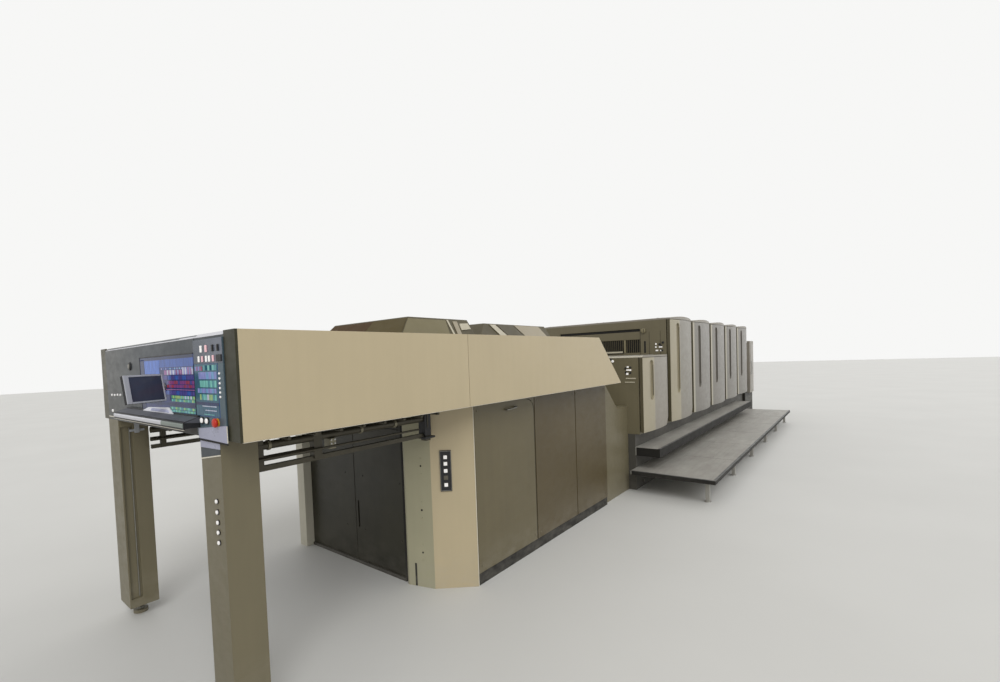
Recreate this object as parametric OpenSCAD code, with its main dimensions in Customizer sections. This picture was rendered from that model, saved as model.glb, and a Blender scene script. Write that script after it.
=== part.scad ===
// Sheet-fed printing press with a delivery, a low transfer unit, five printing towers and a feeder.
// The construction frame has its origin at the delivery's front corner on the operator's side:
// X runs along the press towards the feeder, Y from the operator's side to the drive side, Z up.
// place() moves every piece so that the origin lies under the middle of the whole press.

/* [Overall] */
// Width over the side covers
press_w = 2110; // [1950:10:2300]

/* [Delivery] */
// Height of the delivery's top edge
fascia_top = 1878; // [1780:2:1960]
// Height of the side fascias
fascia_h = 490; // [400:5:540]
// Thickness of a side fascia
fascia_t = 40; // [20:1:60]
// Distance from the front to the seam between the two fascias
fascia_seam = 1564; // [1400:2:1700]
// Distance from the front to the fascia's end at its top edge
fascia_end_top = 3680; // [3500:5:3800]
// Distance from the front to the fascia's end at its bottom edge
fascia_end_bottom = 4227; // [4100:1:4300]
// Gap at the fascia seam
seam_gap = 4; // [1:0.5:8]
// Width of the trim strip at each front corner
trim_w = 110; // [60:1:150]
// Thickness of the trim strip
trim_t = 12; // [6:1:25]
// Thickness of the front panel
panel_t = 40; // [20:1:60]
// How far the housing's roof lies below the fascia's top edge
roof_drop = 16; // [4:1:40]

/* [Posts and pile bay] */
// Width of a front post, across the press
post_w = 220; // [160:5:260]
// Depth of a front post, along the press
post_d = 175; // [120:5:220]
// Distance of the operator's post behind the fascia's outer face
post_inset = 205; // [120:5:260]
// Distance of the drive side's post from the outer face
drive_post_inset = 90; // [60:5:160]
// Height of the levelling foot under a post
foot_h = 80; // [50:2:110]
// Radius of the levelling foot's pad
foot_r = 45; // [30:1:60]
// Depth of the guide channel in a post's inner face
channel_depth = 14; // [6:1:24]
// Distance from the front to the pile bay's back wall
wall_x = 1540; // [1450:5:1600]
// Height of the upper guide tube's axis
tube_z = 1301; // [1260:1:1330]
// Radius of the upper guide tube
tube_r = 22; // [10:0.5:26]
// Height of the lower guide bar
bar_h = 28; // [20:1:50]
// Thickness of the lower guide bar
bar_t = 24; // [12:1:40]
// Distance of the guide tube and bar behind the fascia's outer face
rail_y = 350; // [310:5:380]

/* [Front controls] */
// Far end of the main display, from the operator's side
display_far = 1242; // [1100:2:1400]
// Near end of the main display
display_near = 172; // [160:1:200]
// Distance from the operator's side to the far edge of the lamp panel
lamps_far = 436; // [400:1:500]
// Lower edge of the main display
display_z0 = 1488; // [1486:1:1510]
// Lower edge of the lamp panel above the display's near part
lamps_z0 = 1736; // [1700:1:1760]
// Upper edge of the main display
display_top = 1790; // [1765:1:1840]
// Upper edge of the lamp panel
lamps_top = 1850; // [1800:1:1860]
// Thickness of the display and the control panel
display_t = 6; // [3:0.5:12]
// Lower edge of the control panel
controls_z0 = 1396; // [1390:1:1430]
// Radius of the emergency stop's button
stop_r = 21; // [14:0.5:26]
// Distance of the emergency stop from the operator's side
stop_y = 201; // [180:1:230]
// Height of the emergency stop's middle
stop_z = 1466; // [1440:1:1466]
// Near end of the sloped ledge, from the operator's side
ledge_near = 400; // [380:1:520]
// Far end of the sloped ledge
ledge_far = 1525; // [1400:5:1850]
// How far the ledge stands out from the front panel
ledge_d = 82; // [60:1:140]
// Height of the ledge at the front panel
ledge_z = 1484; // [1470:1:1488]
// How far the ledge falls towards its front edge
ledge_fall = 21; // [5:1:60]
// Height of the ledge's front strip
ledge_strip = 30; // [16:1:40]
// Width of the small monitor
monitor_w = 205; // [160:1:260]
// Height of the small monitor
monitor_h = 145; // [120:1:190]
// Thickness of the small monitor
monitor_t = 26; // [14:1:40]
// How far the small monitor turns from facing along the press
monitor_turn = 72; // [60:1:80]
// How far the small monitor leans back
monitor_lean = 10; // [0:1:20]
// Width of the keyboard
keyboard_w = 480; // [300:5:520]
// Near end of the keyboard, from the operator's side
keyboard_near = 710; // [600:5:900]
// Height of the keyboard's upper edge above the ledge
keyboard_h = 34; // [20:1:70]
// How far the keyboard's lower edge stands out from the display
keyboard_d = 14; // [12:1:50]

/* [Rear of the delivery] */
// Distance of the side guards behind the fascia's outer face
guard_inset = 170; // [140:5:200]
// Thickness of a side guard
guard_t = 30; // [15:1:40]
// Distance from the front to the corner pillar's rear edge
pillar_x = 1806; // [1780:1:1850]
// Height of the bottom edge of the side guards
guard_z0 = 90; // [40:5:160]
// Gap between two side guards
guard_gap = 12; // [4:1:20]
// Width of the first side guard
guard_1_w = 850; // [700:5:900]
// Width of the second side guard
guard_2_w = 768; // [650:2:850]
// Height of the link between the delivery and the low unit
link_h = 1050; // [950:10:1200]

/* [Top hoods] */
// Height of the hoods above the delivery's roof
hood_h = 188; // [120:2:230]
// Height of the second hood above the delivery's roof
hood_2_h = 168; // [120:2:200]
// Distance from the front to the first hood
hood_1_x = 1400; // [1250:5:1500]
// Length of the first hood
hood_1_len = 930; // [700:5:940]
// Distance from the front to the second hood
hood_2_x = 2345; // [2340:5:3150]
// Length of the second hood
hood_2_len = 1305; // [400:5:1320]
// Distance of the hoods from the outer faces
hood_inset = 500; // [350:5:700]
// How far a hood's sides lean in
hood_lean = 90; // [30:5:150]

/* [Low unit] */
// Distance from the front to the low unit
low_x = 4927; // [4850:1:5000]
// Height of the low unit
low_top = 1672; // [1600:2:1720]
// Width of the low unit's door
low_door_w = 963; // [880:1:1000]
// Height of the lower edge of the low door's handle groove
groove_z0 = 1110; // [1000:5:1200]
// Height of the upper edge of the low door's handle groove
low_groove_top = 1612; // [1500:2:1630]
// Distance of the groove's middle from the low door's front edge
low_groove_x = 238; // [200:1:400]

/* [Towers] */
// Distance from the front to the first tower
tower_x = 6050; // [6000:5:6100]
// Distance from one tower to the next
tower_pitch = 1190; // [1160:5:1300]
// Height of a tower
tower_top = 2185; // [2100:5:2300]
// Thickness of the roof plates
roof_t = 20; // [10:1:30]
// Length of a tower above the treads
tower_len = 820; // [700:5:900]
// Height of the tread between two towers
tread_z = 1060; // [980:5:1150]
// Height of the base frame
base_h = 700; // [640:5:710]
// How far the base frame is set in from the outer faces
base_inset = 110; // [90:2:160]

/* [Tower doors] */
// Width of a tower's door
door_w = 1090; // [1000:5:1110]
// Thickness of a door's side edges
door_t = 40; // [34:1:60]
// Thickness of the drive side's covers
drive_t = 70; // [40:1:90]
// Gap between a door and the body behind it
door_gap = 12; // [8:1:20]
// Gap between a door and the roof plate above it
door_top_gap = 6; // [5:0.5:12]
// Height of a door's lower edge above the base frame
door_rise = 22; // [15:1:50]
// Length of the slanted lower corner of a door
chamfer_w = 140; // [100:5:180]
// Height of the slanted lower corner of a door
chamfer_h = 95; // [70:5:120]
// How far a door bulges outwards between its side edges
door_bow = 50; // [20:1:60]
// How far a tower's roof plate arches up
roof_crown = 25; // [5:1:40]
// Distance of the handle groove's middle from a tower door's front edge
groove_x = 252; // [200:1:480]
// Width of the handle groove
groove_w = 110; // [80:2:140]
// Depth of the handle groove
groove_d = 28; // [15:1:40]
// Height of the groove's upper edge below the roof
groove_top_drop = 70; // [40:5:120]
// Radius of a hinge pin
pin_r = 8; // [6:0.5:10]
// Running clearance around a hinge pin
pin_play = 0.3; // [0.1:0.05:0.5]
// Distance of the hinge axis from a door's inner corner faces
hinge_r = 16; // [14:0.5:20]
// Length of a hinge pin in its door
pin_len = 55; // [40:1:80]
// Height of the lower hinge bracket's underside above the base frame
bracket_rise = 70; // [64:1:74]
// Thickness of the lower hinge bracket
bracket_t = 12; // [8:1:14]

/* [Tower end face] */
// Height of the long slot's middle
slot_z = 2035; // [1980:5:2060]
// Height of the long slot
slot_h = 40; // [20:1:60]
// Distance of the long slot's ends from the outer faces
slot_inset = 414; // [400:2:500]
// Depth of the long slot and of the grille's recess
slot_d = 18; // [8:1:30]
// Radius of the knob beside the slot
knob_r = 34; // [20:1:45]
// Distance of the knob from the outer face
knob_y = 362; // [300:2:370]
// Width of the grille
grille_w = 600; // [450:5:640]
// Height of the grille
grille_h = 192; // [150:2:200]
// Height of the grille's lower edge
grille_z = 1710; // [1690:2:1750]

/* [Walkway] */
// Height of the inner step
step_z = 540; // [500:5:570]
// Height of the inner step's skirt
step_h = 105; // [60:5:130]
// How far the inner step stands out from the side covers
step_out = 180; // [150:5:300]
// Length of the inner step
step_len = 6270; // [5900:10:6900]
// Height of the outer platform
platform_z = 280; // [240:5:330]
// Thickness of the outer platform
platform_t = 45; // [25:1:60]
// How far the platform stands out from the side covers
platform_out = 812; // [650:2:900]
// Distance from the front to the platform
platform_x = 4745; // [4650:5:4850]
// Number of legs along the platform
leg_count = 6; // [6:1:8]
// Width of a platform leg
leg_w = 40; // [30:1:60]
// Distance of the legs from the platform's outer edge
leg_inset = 85; // [60:5:160]
// Radius of a leg's foot
leg_foot_r = 34; // [30:1:45]
// Height of a leg's foot
leg_foot_h = 12; // [8:1:20]

/* [Feeder] */
// Length of the infeed behind the last tower
infeed_len = 1000; // [900:10:1100]
// Height of the infeed
infeed_h = 980; // [900:10:1040]
// Distance from the last tower to the feeder's side cover
cover_gap = 310; // [200:5:350]
// Length of the feeder's side cover
cover_len = 490; // [400:5:560]
// Height of the feeder's side cover
cover_top = 1887; // [1780:2:1980]
// Thickness of the feeder's side cover
cover_t = 60; // [30:1:80]
// Length of the feeder's frame
frame_len = 1240; // [1150:10:1400]
// Height of the feeder's side frames
frame_h = 1500; // [1380:10:1560]
// Thickness of the feeder's side frames
frame_t = 100; // [60:5:140]
// Distance of the side frames from the outer faces
frame_inset = 260; // [230:5:300]
// Width of the feed board
feed_w = 1190; // [1000:10:1250]
// Thickness of the feed board
feed_t = 50; // [30:1:70]
// How far the feed board rises towards the feeder
feed_rise = 130; // [80:5:180]
// Height of the portal over the pile
portal_top = 1850; // [1750:10:1870]
// Width of the portal's posts and beam
portal_w = 120; // [80:5:150]
// Distance from the feeder frame's start to the portal
portal_x = 480; // [440:5:520]
// Width of the suction head
head_w = 700; // [500:10:900]
// Length of the suction head
head_len = 320; // [240:10:360]
// Height of the suction head's underside
head_z = 1400; // [1340:5:1440]
// Height of the suction head
head_h = 200; // [140:5:240]
// Height of the pile board's underside
pile_z = 140; // [100:5:250]
// Thickness of the pile board
pile_t = 60; // [40:2:90]

/* [Hidden] */
$fn = 48;

TOWERS = 5;
BEIGE = [0.74, 0.68, 0.56];
OLIVE = [0.42, 0.39, 0.32];
PALE = [0.72, 0.71, 0.69];
CHARCOAL = [0.20, 0.20, 0.19];
SLATE = [0.33, 0.37, 0.41];
STEEL = [0.62, 0.62, 0.62];

fascia_bottom = fascia_top - fascia_h;
housing_top = fascia_top - roof_drop;
guard_y = guard_inset + guard_t;
body_y = door_t + door_gap;
towers_end = tower_x + TOWERS * tower_pitch;
infeed_end = towers_end + infeed_len;
feeder_end = infeed_end + frame_len;
rail_gap = 118;
door_z0 = base_h + door_rise;
bracket_z = base_h + bracket_rise;
bar_z = tube_z - rail_gap;
rod_z = tube_z - 66;
rod_len = 440;
rod_r = 15;
clamp_x = 560;
clamp_w = 50;
clamp_rise = 30;
wall_near = 640;
wall_far_inset = 150;
wall_far = press_w - wall_far_inset;
wall_slot_y = wall_near + 600;
wall_slot_w = 20;
wall_slot_z = 310;
wall_slot_h = 230;
guide_slot_h = 150;
tower_heel = 240;
tower_shoulder = 350;
// Corner pillar's outline: a grey face that turns in to the bay, then a slanted beige face
pillar_in = [wall_x - 30, wall_near - 20];
pillar_mid = [wall_x + 35, 410];
pillar_out = [pillar_x - 6, guard_inset];
pillar_back = [wall_x + 5, wall_near];
pillar_split = pillar_mid + [30, 32];
button_plate_w = 86;
button_plate_h = 306;
button_plate_z = 736;
button_plate_t = 8;
button_plate_at = 0.34;

// The monitor hangs in front of the front panel, held by an arm
monitor_at = [-120, 790, 1620];
monitor_normal = [cos(monitor_lean) * cos(monitor_turn), -cos(monitor_lean) * sin(monitor_turn),
    sin(monitor_lean)];
monitor_reach = monitor_w / 2 * sin(monitor_turn) + monitor_t / 2 * monitor_normal[0]
    + monitor_h / 2 * sin(monitor_lean) * cos(monitor_turn);

middle = [(monitor_at[0] - monitor_reach + feeder_end) / 2, (press_w - platform_out) / 2, 0];

function tower_at(i) = tower_x + (i - 1) * tower_pitch;
// Radius of an arc that rises by the given height over the given width
function arc_radius(width, rise) = pow(width, 2) / (8 * rise) + rise / 2;

bow_r = arc_radius(door_w, door_bow);

module place() translate(-middle) children();

module block(x, y, z) translate([x[0], y[0], z[0]]) cube([x[1] - x[0], y[1] - y[0], z[1] - z[0]]);

// A profile drawn along the press and upwards, carried across the press from y[0] to y[1]
module across(points, y) translate([0, y[1], 0]) rotate([90, 0, 0]) linear_extrude(y[1] - y[0])
    polygon(points);

module both_sides() {
    children();
    translate([0, press_w, 0]) mirror([0, 1, 0]) children();
}

module post(inset) {
    difference() {
        block([0, post_d], [inset, inset + post_w], [foot_h, fascia_bottom]);
        block([10, post_d / 2 - 10], [inset + post_w - channel_depth, inset + post_w + 1],
            [foot_h + 60, fascia_bottom - 50]);
    }
    translate([post_d / 2, inset + post_w / 2, 0]) {
        cylinder(h = 22, r = foot_r);
        cylinder(h = foot_h, r = foot_r / 3);
    }
}

module delivery_post_operator() color(OLIVE) place() post(post_inset);

module delivery_post_drive() color(OLIVE) place()
    translate([0, press_w, 0]) mirror([0, 1, 0]) post(drive_post_inset);

// The panel's upper edge slopes back to the height of the fascias
module front_panel() color(SLATE) place()
    across([[0, fascia_bottom], [panel_t, fascia_bottom], [panel_t, fascia_top],
        [panel_t / 2, fascia_top], [0, housing_top]], [trim_w, press_w - trim_w]);

module corner_trims() color(OLIVE) place() both_sides()
    block([0, trim_t], [0, trim_w], [fascia_bottom, fascia_top]);

// A plate on the front panel, from an outline of distances across the press and heights
module on_front(outline) rotate([90, 0, -90]) linear_extrude(display_t)
    polygon([for (q = outline) [-q[0], q[1]]]);

module main_display() color([0.2, 0.3, 0.6]) place() on_front([[display_far, display_z0],
    [display_near, display_z0], [display_near, lamps_z0], [lamps_far, lamps_z0],
    [lamps_far, display_top], [display_far, display_top]]);

// The control panel frames the display's near part: lamps above it, buttons beside and below it
module control_column() color(SLATE) place() {
    y0 = trim_w + 4;
    y1 = display_near - 0.4;
    z0 = display_z0 - 0.4;
    z1 = lamps_z0 + 0.4;
    on_front([[lamps_far - 0.4, controls_z0], [y0, controls_z0], [y0, lamps_top],
        [lamps_far - 0.4, lamps_top], [lamps_far - 0.4, z1], [y1, z1], [y1, z0], [lamps_far - 0.4, z0]]);
}

module emergency_stop() color([0.75, 0.1, 0.1]) place()
    translate([-display_t, stop_y, stop_z]) rotate([0, -90, 0]) {
        cylinder(h = 18, r = stop_r * 0.55);
        translate([0, 0, 18]) cylinder(h = 14, r = stop_r);
    }

// The ledge's near end passes in front of the control panel
module sloped_ledge() color([0.12, 0.12, 0.13]) place() difference() {
    across([[0, ledge_z], [-ledge_d, ledge_z - ledge_fall],
        [-ledge_d, ledge_z - ledge_fall - ledge_strip],
        [0, ledge_z - ledge_fall - ledge_strip]], [ledge_near, ledge_far]);
    block([-display_t - 0.3, 1], [ledge_near - 1, lamps_far], [controls_z0, ledge_z + 1]);
}

// The monitor, and the arm that carries it from the front panel
module small_monitor() color([0.6, 0.6, 0.6]) place() {
    translate(monitor_at) rotate([0, 0, -monitor_turn]) rotate([0, -monitor_lean, 0])
        cube([monitor_t, monitor_w, monitor_h], center = true);
    translate([-display_t, monitor_at[1] + 60, monitor_at[2]]) rotate([0, -90, 0])
        cylinder(h = -monitor_at[0] - display_t, r = 14);
    translate(monitor_at) rotate([-90, 0, 0]) cylinder(h = 70, r = 14);
}

// Height of the ledge's top at a distance in front of the panel
function ledge_at(x) = ledge_z + ledge_fall * x / ledge_d;

// The keyboard is stowed on its edge, against the display at the back of the ledge
module keyboard() color([0.85, 0.86, 0.88]) place() {
    x0 = -display_t - 0.3;
    x1 = x0 - keyboard_d;
    across([[x0, ledge_at(x0)], [x1, ledge_at(x1)], [x1, ledge_at(x1) + keyboard_h / 5],
        [x0, ledge_at(x0) + keyboard_h]], [keyboard_near, keyboard_near + keyboard_w]);
}

module fascia_pair() {
    block([trim_t, fascia_seam - seam_gap / 2], [0, fascia_t], [fascia_bottom, fascia_top]);
    across([[fascia_seam + seam_gap / 2, fascia_bottom], [fascia_end_bottom, fascia_bottom],
        [fascia_end_top, fascia_top], [fascia_seam + seam_gap / 2, fascia_top]], [0, fascia_t]);
}

module fascia_operator() color(BEIGE) place() fascia_pair();

module fascia_drive() color(BEIGE) place()
    translate([0, press_w, 0]) mirror([0, 1, 0]) fascia_pair();

module delivery_housing() color(CHARCOAL) place() {
    across([[panel_t, fascia_bottom], [fascia_end_bottom - 10, fascia_bottom],
        [fascia_end_top - 10 + roof_drop, housing_top], [panel_t, housing_top]],
        [fascia_t, press_w - fascia_t]);
}

module hood(x, len, h) hull() {
    block([x, x + len], [hood_inset, press_w - hood_inset], [housing_top, housing_top + 2]);
    block([x + hood_lean * 2, x + len - hood_lean / 2], [hood_inset + hood_lean,
        press_w - hood_inset - hood_lean], [housing_top + h - 2, housing_top + h]);
}

module top_hoods() color(OLIVE) place() {
    hood(hood_1_x, hood_1_len, hood_h);
    hood(hood_2_x, hood_2_len, hood_2_h);
}

// Guide tube and bar beside the pile, hung from the housing and clamped together
module rail_set() {
    translate([post_d, rail_y, tube_z]) rotate([0, 90, 0])
        cylinder(h = wall_x - 40 - post_d, r = tube_r);
    block([post_d, wall_x - 40], [rail_y - bar_t / 2, rail_y + bar_t / 2],
        [bar_z - bar_h / 2, bar_z + bar_h / 2]);
    block([wall_x - 85, wall_x - 40], [rail_y - 25, rail_y + 25], [bar_z - 40, fascia_bottom]);
    translate([post_d, rail_y - 8, rod_z]) rotate([0, 90, 0]) cylinder(h = rod_len, r = rod_r);
    block([post_d + 60, post_d + 90], [rail_y - 20, rail_y + 20], [bar_z, fascia_bottom]);
    block([clamp_x, clamp_x + clamp_w], [rail_y - tube_r, rail_y + tube_r], [bar_z, tube_z + clamp_rise]);
}

module pile_rails() color(STEEL) place() both_sides() rail_set();

module back_wall() color(CHARCOAL) place() difference() {
    block([wall_x, pillar_x], [wall_near, wall_far], [0, fascia_bottom]);
    block([wall_x - 1, wall_x + wall_slot_w], [wall_slot_y, wall_slot_y + wall_slot_w],
        [wall_slot_z, wall_slot_z + wall_slot_h]);
}

module corner_pillar() color(BEIGE) place() linear_extrude(fascia_bottom)
    polygon([pillar_mid, pillar_out, [pillar_x, guard_inset], [pillar_x, wall_near], pillar_back,
        pillar_split]);

module pillar_guides() color([0.55, 0.55, 0.50]) place() {
    difference() {
        linear_extrude(fascia_bottom)
            polygon([pillar_in, pillar_mid, pillar_split, pillar_back, [wall_x - 24, wall_near]]);
        translate([wall_x - 15, wall_near - 80, 60]) cube([60, 14, guide_slot_h], center = true);
    }
    block([wall_x - 80, pillar_x], [wall_far, press_w - fascia_t], [0, fascia_bottom]);
}

module pillar_buttons() color(CHARCOAL) place() {
    run = pillar_out - pillar_mid;
    at = pillar_mid + run * button_plate_at;
    translate([at[0], at[1], button_plate_z]) rotate([0, 0, atan2(run[1], run[0])])
        translate([-button_plate_w / 2, -button_plate_t - 0.3, 0])
            cube([button_plate_w, button_plate_t, button_plate_h]);
}

module rear_housing() color(CHARCOAL) place()
    block([pillar_x, fascia_end_bottom - 37], [guard_y, press_w - guard_y], [0, fascia_bottom]);

module guard(x0, x1) block([x0, x1], [guard_inset, guard_y], [guard_z0, fascia_bottom - 8]);

module side_guards() color(OLIVE) place() both_sides() {
    x1 = pillar_x + guard_gap / 2;
    x2 = x1 + guard_1_w + guard_gap;
    x3 = x2 + guard_2_w + guard_gap;
    guard(x1, x1 + guard_1_w);
    guard(x2, x2 + guard_2_w);
    guard(x3, fascia_end_bottom - 37);
}

module link_housing() color(OLIVE) place() across([[fascia_end_bottom - 37, 0], [low_x, 0],
    [low_x, link_h], [low_x - 330, link_h], [fascia_end_bottom, fascia_bottom],
    [fascia_end_bottom - 37, fascia_bottom]], [guard_y, press_w - guard_y]);

// A door's plan: bowed outwards, and rounded about the hinge at its inner rear corner
module door_plan(w) union() {
    intersection() {
        bowed_edge(w);
        translate([0, -door_bow - 1]) square([w, door_bow + 1 + door_t - hinge_r]);
    }
    translate([0, door_t - hinge_r]) square([w - hinge_r, hinge_r]);
    translate([w - hinge_r, door_t - hinge_r]) circle(r = hinge_r);
}

// The circle whose arc runs through a door's two outer corners
module bowed_edge(w) translate([w / 2, sqrt(pow(bow_r, 2) - pow(w / 2, 2))])
    circle(r = bow_r, $fn = 720);

// A door stands with its outer corners at y = 0 and its front edge at x = 0
module door(w, top, at_x, groove_top) difference() {
    translate([0, 0, door_z0]) linear_extrude(top - door_z0) door_plan(w);
    groove(w, at_x, groove_top);
    across([[w - chamfer_w, door_z0 - 1], [w + 1, door_z0 - 1], [w + 1, door_z0 + chamfer_h],
        [w, door_z0 + chamfer_h], [w - chamfer_w, door_z0]], [-door_bow - 1, door_t + 1]);
    translate([w - hinge_r, door_t - hinge_r, 0]) {
        translate([0, 0, bracket_z]) cylinder(h = bracket_t + pin_len + 20, r = pin_r + pin_play);
        translate([0, 0, top - pin_len]) cylinder(h = pin_len + 1, r = pin_r + pin_play);
    }
}

// The grip groove follows the door's bow at its own place
module groove(w, at_x, top) {
    bow = sqrt(pow(bow_r, 2) - pow(at_x - w / 2, 2)) - sqrt(pow(bow_r, 2) - pow(w / 2, 2));
    floor_y = groove_d - bow;
    turn = asin((at_x - w / 2) / bow_r);
    translate([at_x, floor_y, 0]) rotate([0, 0, turn]) {
        block([-groove_w / 2, groove_w / 2], [-groove_d - 3, 0],
            [groove_z0 + groove_w / 2, top - groove_w / 2]);
        for (z = [groove_z0 + groove_w / 2, top - groove_w / 2]) translate([0, 0, z])
            rotate([90, 0, 0]) cylinder(h = groove_d + 3, r = groove_w / 2);
    }
}

// The bracket and pin under a door, out from the body behind it
module lower_hinge(x) translate([x, door_t - hinge_r, bracket_z]) {
    cylinder(h = bracket_t, r = hinge_r + 2);
    block([-hinge_r - 2, hinge_r + 2], [0, hinge_r + door_gap], [0, bracket_t]);
    cylinder(h = bracket_t + pin_len + 10, r = pin_r);
}

module upper_pin(x, top) translate([x, door_t - hinge_r, top - pin_len])
    cylinder(h = pin_len, r = pin_r);

module low_unit() color(OLIVE) place() {
    block([low_x, tower_x], [body_y, press_w - drive_t], [base_h, low_top - roof_t]);
    lower_hinge(low_x + low_door_w - hinge_r);
}

module low_unit_door() color(PALE) place() translate([low_x, 0, 0])
    door(low_door_w, low_top - roof_t - door_top_gap, low_groove_x, low_groove_top);

module tower(i) color(OLIVE) place() translate([tower_at(i), 0, 0]) {
    difference() {
        across([[0, base_h], [tower_pitch, base_h], [tower_pitch, tread_z], [tower_len + 60, tread_z],
            [tower_len, tread_z + tower_heel], [tower_len, tower_top - tower_shoulder],
            [tower_len - 60, tower_top - roof_t], [0, tower_top - roof_t]],
            [body_y, press_w - drive_t]);
        block([-1, slot_d], [slot_inset, press_w - slot_inset], [slot_z - slot_h / 2, slot_z + slot_h / 2]);
        block([-1, slot_d], [slot_inset, slot_inset + grille_w], [grille_z, grille_z + grille_h]);
    }
    translate([-22, knob_y, slot_z - 12]) rotate([0, 90, 0]) cylinder(h = 22, r = knob_r);
    lower_hinge(door_w - hinge_r);
}

module tower_door(i) color(PALE) place() translate([tower_at(i), 0, 0])
    door(door_w, tower_top - roof_t - door_top_gap, groove_x, tower_top - groove_top_drop);

// A roof plate lies over the body and reaches over the door and the drive side's cover
module roof_plan(len, w) union() {
    intersection() {
        bowed_edge(w);
        translate([0, -door_bow - 1]) square([w, door_bow + 1 + body_y]);
    }
    translate([0, body_y]) square([len, press_w - drive_t - body_y]);
    translate([0, press_w - drive_t]) square([w, drive_t]);
}

// A tower's roof arches up over its length
module tower_roof() intersection() {
    r = arc_radius(door_w, roof_crown);
    translate([0, 0, tower_top - roof_t]) linear_extrude(roof_t + roof_crown)
        roof_plan(tower_len - 60, door_w);
    translate([door_w / 2, -door_bow - 10, tower_top + roof_crown - r]) rotate([-90, 0, 0])
        cylinder(h = press_w + door_bow + 20, r = r, $fn = 720);
}

module tower_roofs() color(PALE) place() {
    translate([low_x, 0, low_top - roof_t]) linear_extrude(roof_t)
        roof_plan(tower_x - low_x - 4, low_door_w);
    upper_pin(low_x + low_door_w - hinge_r, low_top - roof_t);
    for (i = [1:TOWERS]) {
        translate([tower_at(i), 0, 0]) tower_roof();
        upper_pin(tower_at(i) + door_w - hinge_r, tower_top - roof_t);
    }
}

module drive_cover(x, w, top) across([[x, door_z0], [x + w - chamfer_w, door_z0],
    [x + w, door_z0 + chamfer_h], [x + w, top], [x, top]], [press_w - drive_t, press_w]);

module drive_covers() color(PALE) place() {
    drive_cover(low_x, low_door_w, low_top - roof_t);
    for (i = [1:TOWERS]) drive_cover(tower_at(i), door_w, tower_top - roof_t);
}

module base_frame() color([0.30, 0.30, 0.29]) place()
    block([low_x, towers_end], [base_inset, press_w - base_inset], [0, base_h]);

module inner_step() color(STEEL) place()
    block([low_x, low_x + step_len], [-step_out, base_inset], [step_z - step_h, step_z]);

module outer_platform() color(STEEL) place() {
    block([platform_x, towers_end], [-platform_out, base_inset],
        [platform_z - platform_t, platform_z]);
    first = platform_x + leg_w / 2 + 110;
    pitch = (towers_end - platform_x - leg_w - 130) / (leg_count - 1);
    for (i = [0:leg_count - 1])
        translate([first + i * pitch, leg_inset + leg_w / 2 - platform_out, 0]) {
            cylinder(h = leg_foot_h, r = leg_foot_r);
            block([-leg_w / 2, leg_w / 2], [-leg_w / 2, leg_w / 2], [0, platform_z - platform_t]);
        }
}

module infeed_body() color(CHARCOAL) place()
    block([towers_end, infeed_end], [cover_t, press_w - cover_t], [0, infeed_h]);

module feeder_covers() color(PALE) place() both_sides() translate([towers_end + cover_gap, 0, 0])
    across([[0, base_h - 60], [cover_len, base_h - 60], [cover_len, cover_top], [0, cover_top]],
        [0, cover_t]);

feed_y = (press_w - feed_w) / 2;
feed_x = [towers_end + 100, infeed_end + portal_x - 60];

module feed_board() color(STEEL) place() across([[feed_x[0], infeed_h], [feed_x[0] + 140, infeed_h],
    [feed_x[1], infeed_h + feed_rise], [feed_x[1], infeed_h + feed_rise + feed_t],
    [feed_x[0], infeed_h + feed_t]], [feed_y, feed_y + feed_w]);

module feeder_frame() color(OLIVE) place() {
    both_sides() {
        block([infeed_end, feeder_end], [frame_inset, frame_inset + frame_t], [40, frame_h]);
        for (x = [infeed_end + 80, feeder_end - 80]) translate([x, frame_inset + frame_t / 2, 0])
            cylinder(h = 40, r = foot_r);
    }
    block([feed_x[1] - 80, feed_x[1] - 10], [frame_inset + frame_t, press_w - frame_inset - frame_t],
        [infeed_h + feed_rise - 80, infeed_h + feed_rise - 10]);
}

// The portal over the pile, and the suction head that hangs from its beam
module feeder_head() color(CHARCOAL) place() {
    x0 = infeed_end + portal_x;
    x_mid = x0 + portal_w / 2;
    y_mid = press_w / 2;
    both_sides() block([x0, x0 + portal_w], [frame_inset, frame_inset + frame_t], [frame_h, portal_top]);
    block([x0, x0 + portal_w], [frame_inset, press_w - frame_inset], [portal_top - portal_w, portal_top]);
    block([x_mid - head_len / 2, x_mid + head_len / 2], [y_mid - head_w / 2, y_mid + head_w / 2],
        [head_z, head_z + head_h]);
    for (y = [y_mid - head_w / 3, y_mid + head_w / 3])
        block([x_mid - portal_w / 4, x_mid + portal_w / 4], [y - portal_w / 4, y + portal_w / 4],
            [head_z + head_h - 20, portal_top - portal_w / 2]);
}

module pile_board() color([0.55, 0.42, 0.28]) place()
    block([infeed_end + portal_x - 60, feeder_end - 20],
        [frame_inset + frame_t, press_w - frame_inset - frame_t], [pile_z, pile_z + pile_t]);

delivery_post_operator();
delivery_post_drive();
front_panel();
corner_trims();
main_display();
control_column();
emergency_stop();
sloped_ledge();
small_monitor();
keyboard();
fascia_operator();
fascia_drive();
delivery_housing();
top_hoods();
pile_rails();
back_wall();
corner_pillar();
pillar_guides();
pillar_buttons();
rear_housing();
side_guards();
link_housing();
low_unit();
low_unit_door();
tower(1);  // tower_1
tower(2);  // tower_2
tower(3);  // tower_3
tower(4);  // tower_4
tower(5);  // tower_5
tower_door(1);  // tower_1_door
tower_door(2);  // tower_2_door
tower_door(3);  // tower_3_door
tower_door(4);  // tower_4_door
tower_door(5);  // tower_5_door
tower_roofs();
drive_covers();
base_frame();
inner_step();
outer_platform();
infeed_body();
feeder_covers();
feed_board();
feeder_frame();
feeder_head();
pile_board();
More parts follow.
